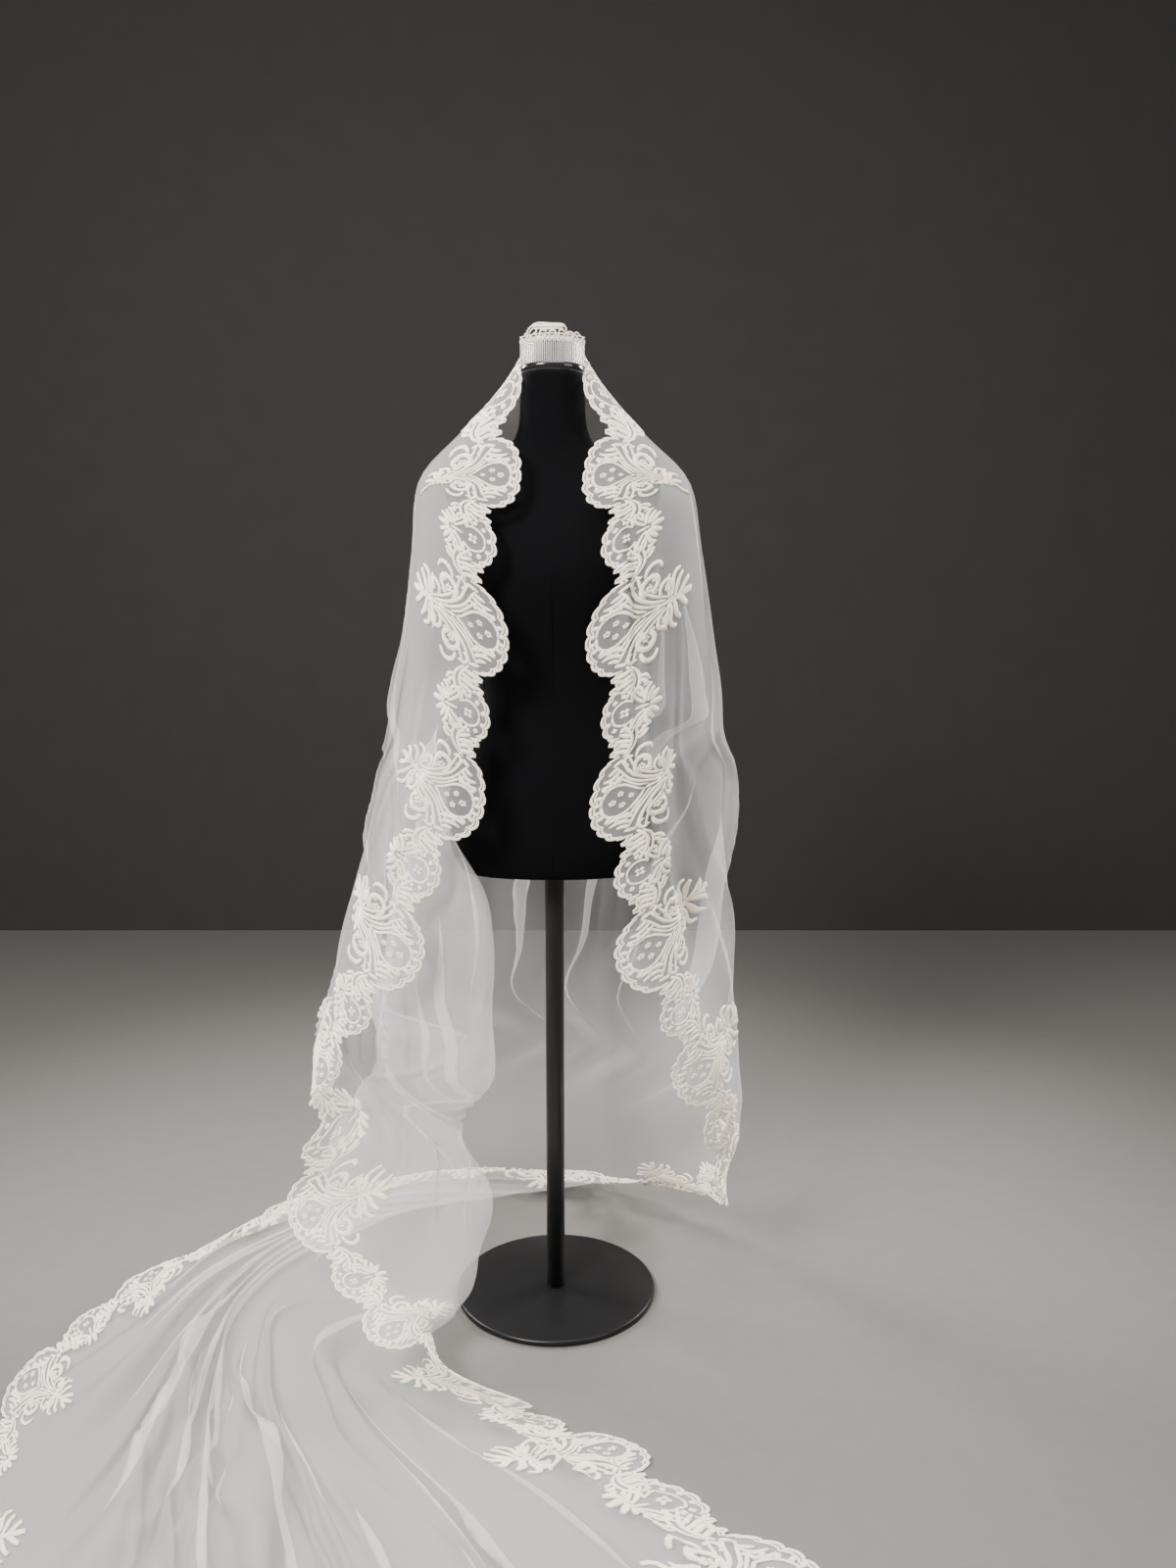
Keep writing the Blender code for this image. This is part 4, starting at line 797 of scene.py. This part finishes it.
def fine_scallops(half):
    """(along, inset) of the hem over one half repeat; odd ones run from small to large."""
    points = []
    for t in np.linspace(0.0, 1.0, 46):
        bump, turn = scallop(t, LARGE_LOBES)
        inset = SCALLOP_RISE * (1 - bump) + (VALLEY_INSET - SCALLOP_RISE) * (1 - math.cos(turn))
        points.append((LARGE_SHARE * math.sin(turn), inset))
    for share, inset in LEAF_TIPS:
        points += [(share + along, inset + inwards) for along, inwards in LEAF_OUTLINE]
    for t in np.linspace(1.0, 0.0, 26):
        bump, turn = scallop(t, SMALL_LOBES)
        points.append((1.0 - SMALL_SHARE * math.sin(turn),
                       VALLEY_INSET - SMALL_RISE * math.cos(turn) - SCALLOP_RISE * bump))
    if half % 2:
        points = [(1 - share, inset) for share, inset in points[::-1]]
    return [((half + share) * HALF_REPEAT - COMB_HALF_WIDTH, inset) for share, inset in points]


def hem_line():
    """The whole scalloped hem from the left end of the comb to its right end."""
    line = [point for half in range(HALVES) for point in fine_scallops(half)]
    return [(a, i) for a, i in line if COMB_CLEAR < a < EDGE_LENGTH - COMB_CLEAR]


# ---- lace strokes
def leaf_widths(count, start, full, end):
    """Half widths along a stroke that swells from its start and narrows to its end."""
    t = np.linspace(0.0, 1.0, count)
    swell = np.sin(math.pi * np.clip(t, 0.02, 0.98)) ** 0.6
    return blend(start, end, t) * (1 - swell) + full * swell


def stroke(widths, points, count=9):
    """Smooth curve through (u, v) points, given one by one, and its half widths."""
    points = np.reshape(np.array(points, float), (-1, 2))
    knots = distances(points)
    return (natural_spline(knots, points, np.linspace(0.0, knots[-1], count)),
            leaf_widths(count, *widths))


def arc(centre, radius, first, last, width, shrink):
    """A scroll: an arc whose radius shrinks towards its end, closed by a ball."""
    turns = np.radians(np.linspace(first, last, SCROLL_POINTS))
    radii = radius * np.linspace(1.0, shrink, SCROLL_POINTS)
    line = np.stack((centre[0] + radii * np.cos(turns), centre[1] + radii * np.sin(turns)), axis=1)
    ball = width * 1.25
    t = np.linspace(-1.0, 1.0, 5)
    return [(line, leaf_widths(SCROLL_POINTS, width * 0.4, width, width * 0.7)),
            (np.stack((line[-1, 0] + t * ball, np.full(5, line[-1, 1])), axis=1),
             ball * np.sqrt(np.clip(1.02 - t ** 2, 0.02, 1.0)))]


def flower(centre, radius, petals, first):
    made = []
    for petal in range(petals):
        turn = first + 2 * math.pi * petal / petals
        heading = np.array((math.cos(turn), math.sin(turn)))
        points = [centre + heading * radius * reach for reach in (0.22, 1.0)]
        made.append(stroke((0.14 * radius, 0.29 * radius, 0.22 * radius), points, 4))
    return made


def motif(strokes, scrolls, flowers, rays, middle, heart):
    """Strokes of a motif in millimetres: u across from its middle, v in from its tip."""
    side = [stroke(widths, points) for widths, *points in strokes]
    for scroll in scrolls:
        side += arc(*scroll)
    for centre, radius, petals in flowers:
        side += flower(centre, radius, petals, FLOWER_TURN)
    hub, angles, inner, outer, further, widths = rays
    for turn in np.radians(angles):
        heading = np.array((math.cos(turn), math.sin(turn)))
        ends = (hub + heading * inner, hub + heading * (outer + further * heading[0]))
        side.append(stroke(widths, ends, 4))
    made = side + [(line * (-1, 1), width) for line, width in side]
    made += [stroke(widths, points) for widths, *points in middle]
    for petals in heart:
        made += flower(*petals)
    return made


def motif_strokes():
    """All strokes of the border as ((along, inset) line, half widths)."""
    large = motif(LARGE_STROKES, LARGE_SCROLLS, LARGE_FLOWERS, LARGE_RAYS, LARGE_MIDDLE,
                  LARGE_HEART)
    small = motif(SMALL_STROKES, SMALL_SCROLLS, (), SMALL_RAYS, SMALL_MIDDLE, SMALL_HEART)
    between = [stroke(widths, points) for widths, *points in BETWEEN_STROKES]
    found = []
    for half in range(HALVES + 1):
        centre = half * HALF_REPEAT - COMB_HALF_WIDTH
        for line, width in (small if half % 2 else large):
            found.append((line / 1000 + (centre, 0.0), width / 1000))
        if half % 2 == 0:
            for side in (-1, 1):
                found += [(line / 1000 * (side, 1) + (centre, 0.0), width / 1000)
                          for line, width in between]
    hem = np.array(hem_line())
    for inset, width in HEM_THREADS:
        for start in range(0, len(hem) - 1, HEM_PIECE):
            line = hem[start:start + HEM_PIECE + 1] + (0.0, inset)
            found.append((line, np.full(len(line), width)))
    return [(line, width) for line, width in found
            if line[:, 0].min() > COMB_CLEAR and line[:, 0].max() < EDGE_LENGTH - COMB_CLEAR]


def ribbons(name, strokes, place, lift, surface, gain=STROKE_GAIN):
    """Domed ribbons of satin stitch along the strokes, with a front and a back.

    `place` gives world points and normals of flat ones.
    """
    flat, rise, uv, faces = [], [], [], []
    base = 0
    section = len(SECTION_ACROSS)
    for line, width in strokes:
        width = width * gain
        heading = unit(np.gradient(line, axis=0))
        sideways = np.stack((-heading[:, 1], heading[:, 0]), axis=1)
        across = SECTION_ACROSS[None, :] * width[:, None]
        flat.append((line[:, None, :] + sideways[:, None, :] * across[:, :, None]).reshape(-1, 2))
        height = SECTION_DOME * np.minimum(THREAD_ROUNDNESS * width, THREAD_HEIGHT)[:, None]
        rise.append((height + np.where(SECTION_DOME < 0, -lift, lift)).ravel())
        uv.append(np.stack((np.repeat(distances(line), section), across.ravel()), axis=1))
        faces += tube_faces(len(line), section, base)
        base += len(line) * section
    points, normals = place(np.concatenate(flat))
    points = points + normals * np.concatenate(rise)[:, None]
    points[:, 2] = np.maximum(points[:, 2], LACE_FLOOR)
    return add_mesh(name, points, faces, surface, np.concatenate(uv))


def border(surface):
    """The five lengths of lace, each in the place of its CAD node."""
    strokes = motif_strokes()
    joins = [share * EDGE_LENGTH for share in LACE_JOINS]
    made = []
    for name, first, last in zip(LACE_NAMES, joins, joins[1:]):
        mine = [stitched for stitched in strokes if first <= stitched[0][0, 0] < last]
        piece = ribbons(name.replace("lace_", "lace_border_"), mine,
                        lambda flat: drape_all(on_edge(flat)), LACE_LIFT, surface)
        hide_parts(name)
        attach(piece, "root")
        made.append(piece)
    return made


def net(surface):
    """The whole veil's net, from comb to scalloped hem, as a thin shell, with its flat size."""
    outline = on_edge(hem_line())
    top = np.array([(x, 0.0) for x in np.linspace(COMB_HALF_WIDTH, -COMB_HALF_WIDTH, 13)])
    loop = np.concatenate((outline, top))
    if signed_area(loop) < 0:
        loop = loop[::-1]
    grid = []
    for drop in np.arange(NET_ROW, VEIL_LENGTH, NET_ROW):
        reach = half_width(drop)
        grid += [cut_point(place, drop)
                 for place in np.linspace(-reach, reach, int(2 * reach / NET_COLUMN))]
    grid = np.array(grid)
    grid = grid[inside(grid, loop)]
    grid = grid[away_from(grid, loop[::3], NET_COLUMN * NET_EDGE_CLEAR)]
    flat, faces = triangles(loop, grid)
    used = sorted({i for face in faces for i in face})
    renumber = {old: new for new, old in enumerate(used)}
    points, _ = drape_all(flat[used])
    made = add_mesh("veil_net", points, [[renumber[i] for i in face] for face in faces], surface,
                    flat[used])
    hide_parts("veil_tulle")
    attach(made, "root")
    x, y = loop.T
    return made, (float(2 * x.max()), float(y.max() - y.min())), float(abs(signed_area(loop)))


# ---- comb
def on_comb(flat):
    """World points and normals of points (across, height) on the front of the comb's spine."""
    x, height = np.asarray(flat, float).T
    slope = 2 * COMB_BOW * x / COMB_HALF_WIDTH ** 2
    normals = unit(np.stack((slope, -np.ones_like(x), np.zeros_like(x)), axis=1))
    points = comb_line(x).T
    points[:, 2] += height
    return points + normals * (COMB_THICKNESS / 2 + SEAM_GAP), normals


def comb_lace(surface):
    """The border's end over the spine: small open cells, and a flap folded up and rolled above."""
    strokes = []
    half = COMB_HALF_WIDTH - STRIP_MARGIN
    places = np.linspace(-half, half, STRIP_CELLS + 1)[:-1] + half / STRIP_CELLS
    for number, x in enumerate(places):
        line = np.stack((x + CELL_ACROSS * np.cos(CELL_TURNS),
                         -CELL_DEEP + CELL_DEEP * np.sin(CELL_TURNS)), axis=1)
        strokes.append((line, np.full(len(line), CELL_THREAD)))
        lean = 0.0016 if number % 2 else -0.0012
        bar = np.array(((x - lean, -0.0038), (x, -0.0010), (x + lean, 0.0018)))
        strokes.append((bar, np.full(len(bar), BAR_THREAD)))
    for height, width in STRIP_LINES:
        line = np.stack((np.linspace(-half, half, 41), np.full(41, height)), axis=1)
        strokes.append((line, np.full(len(line), width)))
    for x in STRIP_FLOWERS:
        strokes += [(line / 1000 + (x, -0.0008), width / 1000)
                    for line, width in flower((0, 0), 2.6, 5, x * 90)]
    strokes += [stroke(np.array(widths) / 1000, np.array(points) / 1000, 13)
                for widths, *points in FLAP_STROKES]
    made = ribbons("lace_on_comb", strokes, on_comb, STRIP_LIFT, surface, 1.0)
    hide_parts("lace_comb")
    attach(made, "root")
    return made


def comb_beads(surface):
    """Rounded tips of the comb's teeth."""
    tilts = math.pi * (np.arange(BEAD_RINGS) + 0.5) / BEAD_RINGS
    bead = turned(BEAD_RADIUS * np.stack((np.sin(tilts), -np.cos(tilts)), axis=1), BEAD_SIDES)
    reach = COMB_HALF_WIDTH - COMB_END_MARGIN
    points, faces = [], []
    for tooth in range(COMB_TEETH):
        x = -reach + (tooth + 0.5) * 2 * reach / COMB_TEETH
        faces += tube_faces(BEAD_RINGS, BEAD_SIDES, len(points))
        points += list(bead + (x, comb_line(x)[1], COMB_TIP_Z + BEAD_RISE))
    made = add_mesh("comb_bead_tips", points, faces, surface)
    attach(made, "root")


# ---- dress form
def form_outline(z, wide, front, behind):
    """Level outline of the form at a height."""
    turns = np.linspace(0, 2 * math.pi, FORM_SIDES, endpoint=False)
    c = np.cos(turns)
    s = np.sin(turns)
    power = 2 / FORM_ROUNDNESS
    depth = np.where(s > 0, behind, front)
    return np.stack((wide * np.sign(c) * np.abs(c) ** power,
                     depth * np.sign(s) * np.abs(s) ** power, np.full(FORM_SIDES, z)), axis=1)


def dress_form():
    """The jersey torso with its seams, the neck's cap, and the pole and plate of the stand."""
    jersey = surface_of("black_jersey", (0.002, 0.002, 0.003), 0.95, speckle(900.0, 3.0),
                        ((0.001, 0.001, 0.0015), (0.004, 0.004, 0.005)), (0.0003, 0.6),
                        Specular_IOR_Level=0.06)
    levels = np.linspace(TORSO[0, 0], TORSO[-1, 0], FORM_LEVELS)
    sizes = natural_spline(TORSO[:, 0], TORSO[:, 1:], levels)
    rings = [form_outline(levels[0], *(sizes[0] - FORM_TUCK))]
    rings += [form_outline(z + FORM_EDGE_RISE, *size) for z, size in zip(levels[:-1], sizes[:-1])]
    rings.append(form_outline(levels[-1], *sizes[-1]))
    torso = add_mesh("form_body", np.concatenate(rings), tube_faces(len(rings), FORM_SIDES), jersey)
    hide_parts("form_torso")
    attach(torso, "root")
    seams = []
    faces = []
    sewn = slice(SEAM_FIRST_LEVEL, SEAM_FIRST_LEVEL + SEAM_LEVELS)
    for turn in FORM_SEAMS:
        base = len(seams)
        index = round(turn / 360 * FORM_SIDES) % FORM_SIDES
        for z, size in zip(levels[sewn], sizes[sewn]):
            ring = form_outline(z, *size)
            beside = ring[(index + 1) % FORM_SIDES] - ring[index - 1]
            beside = beside / np.linalg.norm(beside) * SEAM_HALF_WIDTH
            ridge = np.array((beside[1], -beside[0], 0.0)) * SEAM_RIDGE
            seams += [ring[index] - beside, ring[index] + ridge, ring[index] + beside]
        for level in range(SEAM_LEVELS - 1):
            for a in (base + level * 3, base + level * 3 + 1):
                faces.append((a, a + 1, a + 4, a + 3))
    lines = add_mesh("form_seams", seams, faces, jersey)
    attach(lines, "root")
    lowest, wide, front, behind = TORSO[-1]
    high = COMB_TIP_Z - SEAM_GAP - CAP_ROUNDING
    cap = [form_outline(lowest + SEAM_GAP, wide, front, behind)]
    for turn in np.radians((0, 20, 40, 60, 80, 90)):
        shrink = CAP_ROUNDING * (1 - math.cos(turn))
        cap.append(form_outline(high + CAP_ROUNDING * math.sin(turn), wide - shrink,
                                front - shrink, behind - shrink))
    cover = add_mesh("form_cap", np.concatenate(cap), tube_faces(len(cap), FORM_SIDES),
                     lacquer("cap_gloss", 0.16, 0.0))
    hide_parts("form_neck_cap")
    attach(cover, "root")
    steel = lacquer("stand_lacquer", 0.35, 0.5)
    heights = (BASE_HEIGHT + SEAM_GAP, 0.30, 0.71, TORSO[0, 0] - SEAM_GAP)
    pole = [(POLE_RADIUS, z) for z in heights]
    rim = [(BASE_RADIUS + out, z) for out, z in BASE_RIM] + [(2 * POLE_RADIUS, BASE_HEIGHT)]
    for name, profile, node in (("stand_pole", pole, "form_pole"),
                                ("stand_base", rim, "form_base")):
        made = add_mesh(name, turned(profile, LATHE_SIDES), tube_faces(len(profile), LATHE_SIDES),
                        steel)
        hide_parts(node)
        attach(made, "root")


# ---- floor, lights and camera
def studio():
    """Plain floor and wall, soft lights, and the camera where the photographer stood."""
    floor_look = surface_of("studio_floor", (0.140, 0.136, 0.130), 0.85, speckle(30.0, 4.0),
                            ((0.129, 0.126, 0.120), (0.150, 0.146, 0.140)))
    wall_look = surface_of("studio_backdrop", (0.028, 0.028, 0.029), 0.95, speckle(12.0, 4.0),
                           ((0.025, 0.025, 0.026), (0.031, 0.031, 0.031)))
    floor = add_mesh("studio_floor", FLOOR, [(0, 1, 2, 3)], floor_look)
    wall = add_mesh("studio_backdrop", WALL, [(0, 1, 2, 3)], wall_look)
    for name, place, aim, size, power, spread in LIGHTS:
        data = bpy.data.lights.new(name, "AREA")
        data.size = size
        data.energy = power
        data.spread = math.radians(spread)
        data.color = LIGHT_COLOUR
        made = placed(name, data)
        made.location = place
        made.rotation_euler = (Vector(aim) - Vector(place)).to_track_quat("-Z", "Y").to_euler()
    world = bpy.data.worlds.new("studio")
    world.use_nodes = True
    put(world.node_tree.nodes["Background"], Color=WORLD_COLOUR, Strength=WORLD_STRENGTH)
    bpy.context.scene.world = world
    data = bpy.data.cameras.new("camera")
    data.lens = CAMERA_LENS
    data.sensor_width = 36.0
    made = placed("camera", data)
    made.location = CAMERA_PLACE
    made.rotation_euler = (math.radians(90 - CAMERA_TILT), 0.0, 0.0)
    bpy.context.scene.camera = made


# ---- put together
net_look = surface_of("bridal_net", NET_COLOUR, 0.9, NET_CELLS, (NET_THREAD, NET_COLOUR),
                      Alpha=NET_ALPHA, Sheen_Weight=0.35, Sheen_Roughness=0.4)
# The lace's stitch texture is tinted from painted shade in its grooves up to the lace's own colour.
lace_look = surface_of("border_lace", LACE_COLOUR, 0.72, STITCHES, (LACE_GROOVE_SHADE, LACE_COLOUR),
                       (0.0002, 0.7), Sheen_Weight=0.25, Sheen_Roughness=0.5)
plastic = surface_of("clear_plastic", (0.80, 0.78, 0.74), 0.12, speckle(400.0, 2.0),
                     ((0.74, 0.72, 0.68), (0.88, 0.86, 0.82)), Alpha=0.45, Specular_IOR_Level=0.8)
veil, flat_size, flat_area = net(net_look)
lengths = border(lace_look)
strip = comb_lace(lace_look)
comb_beads(plastic)
comb_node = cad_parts["veil_comb"]
comb_node.data.materials.clear()
comb_node.data.materials.append(plastic)
dress_form()
studio()
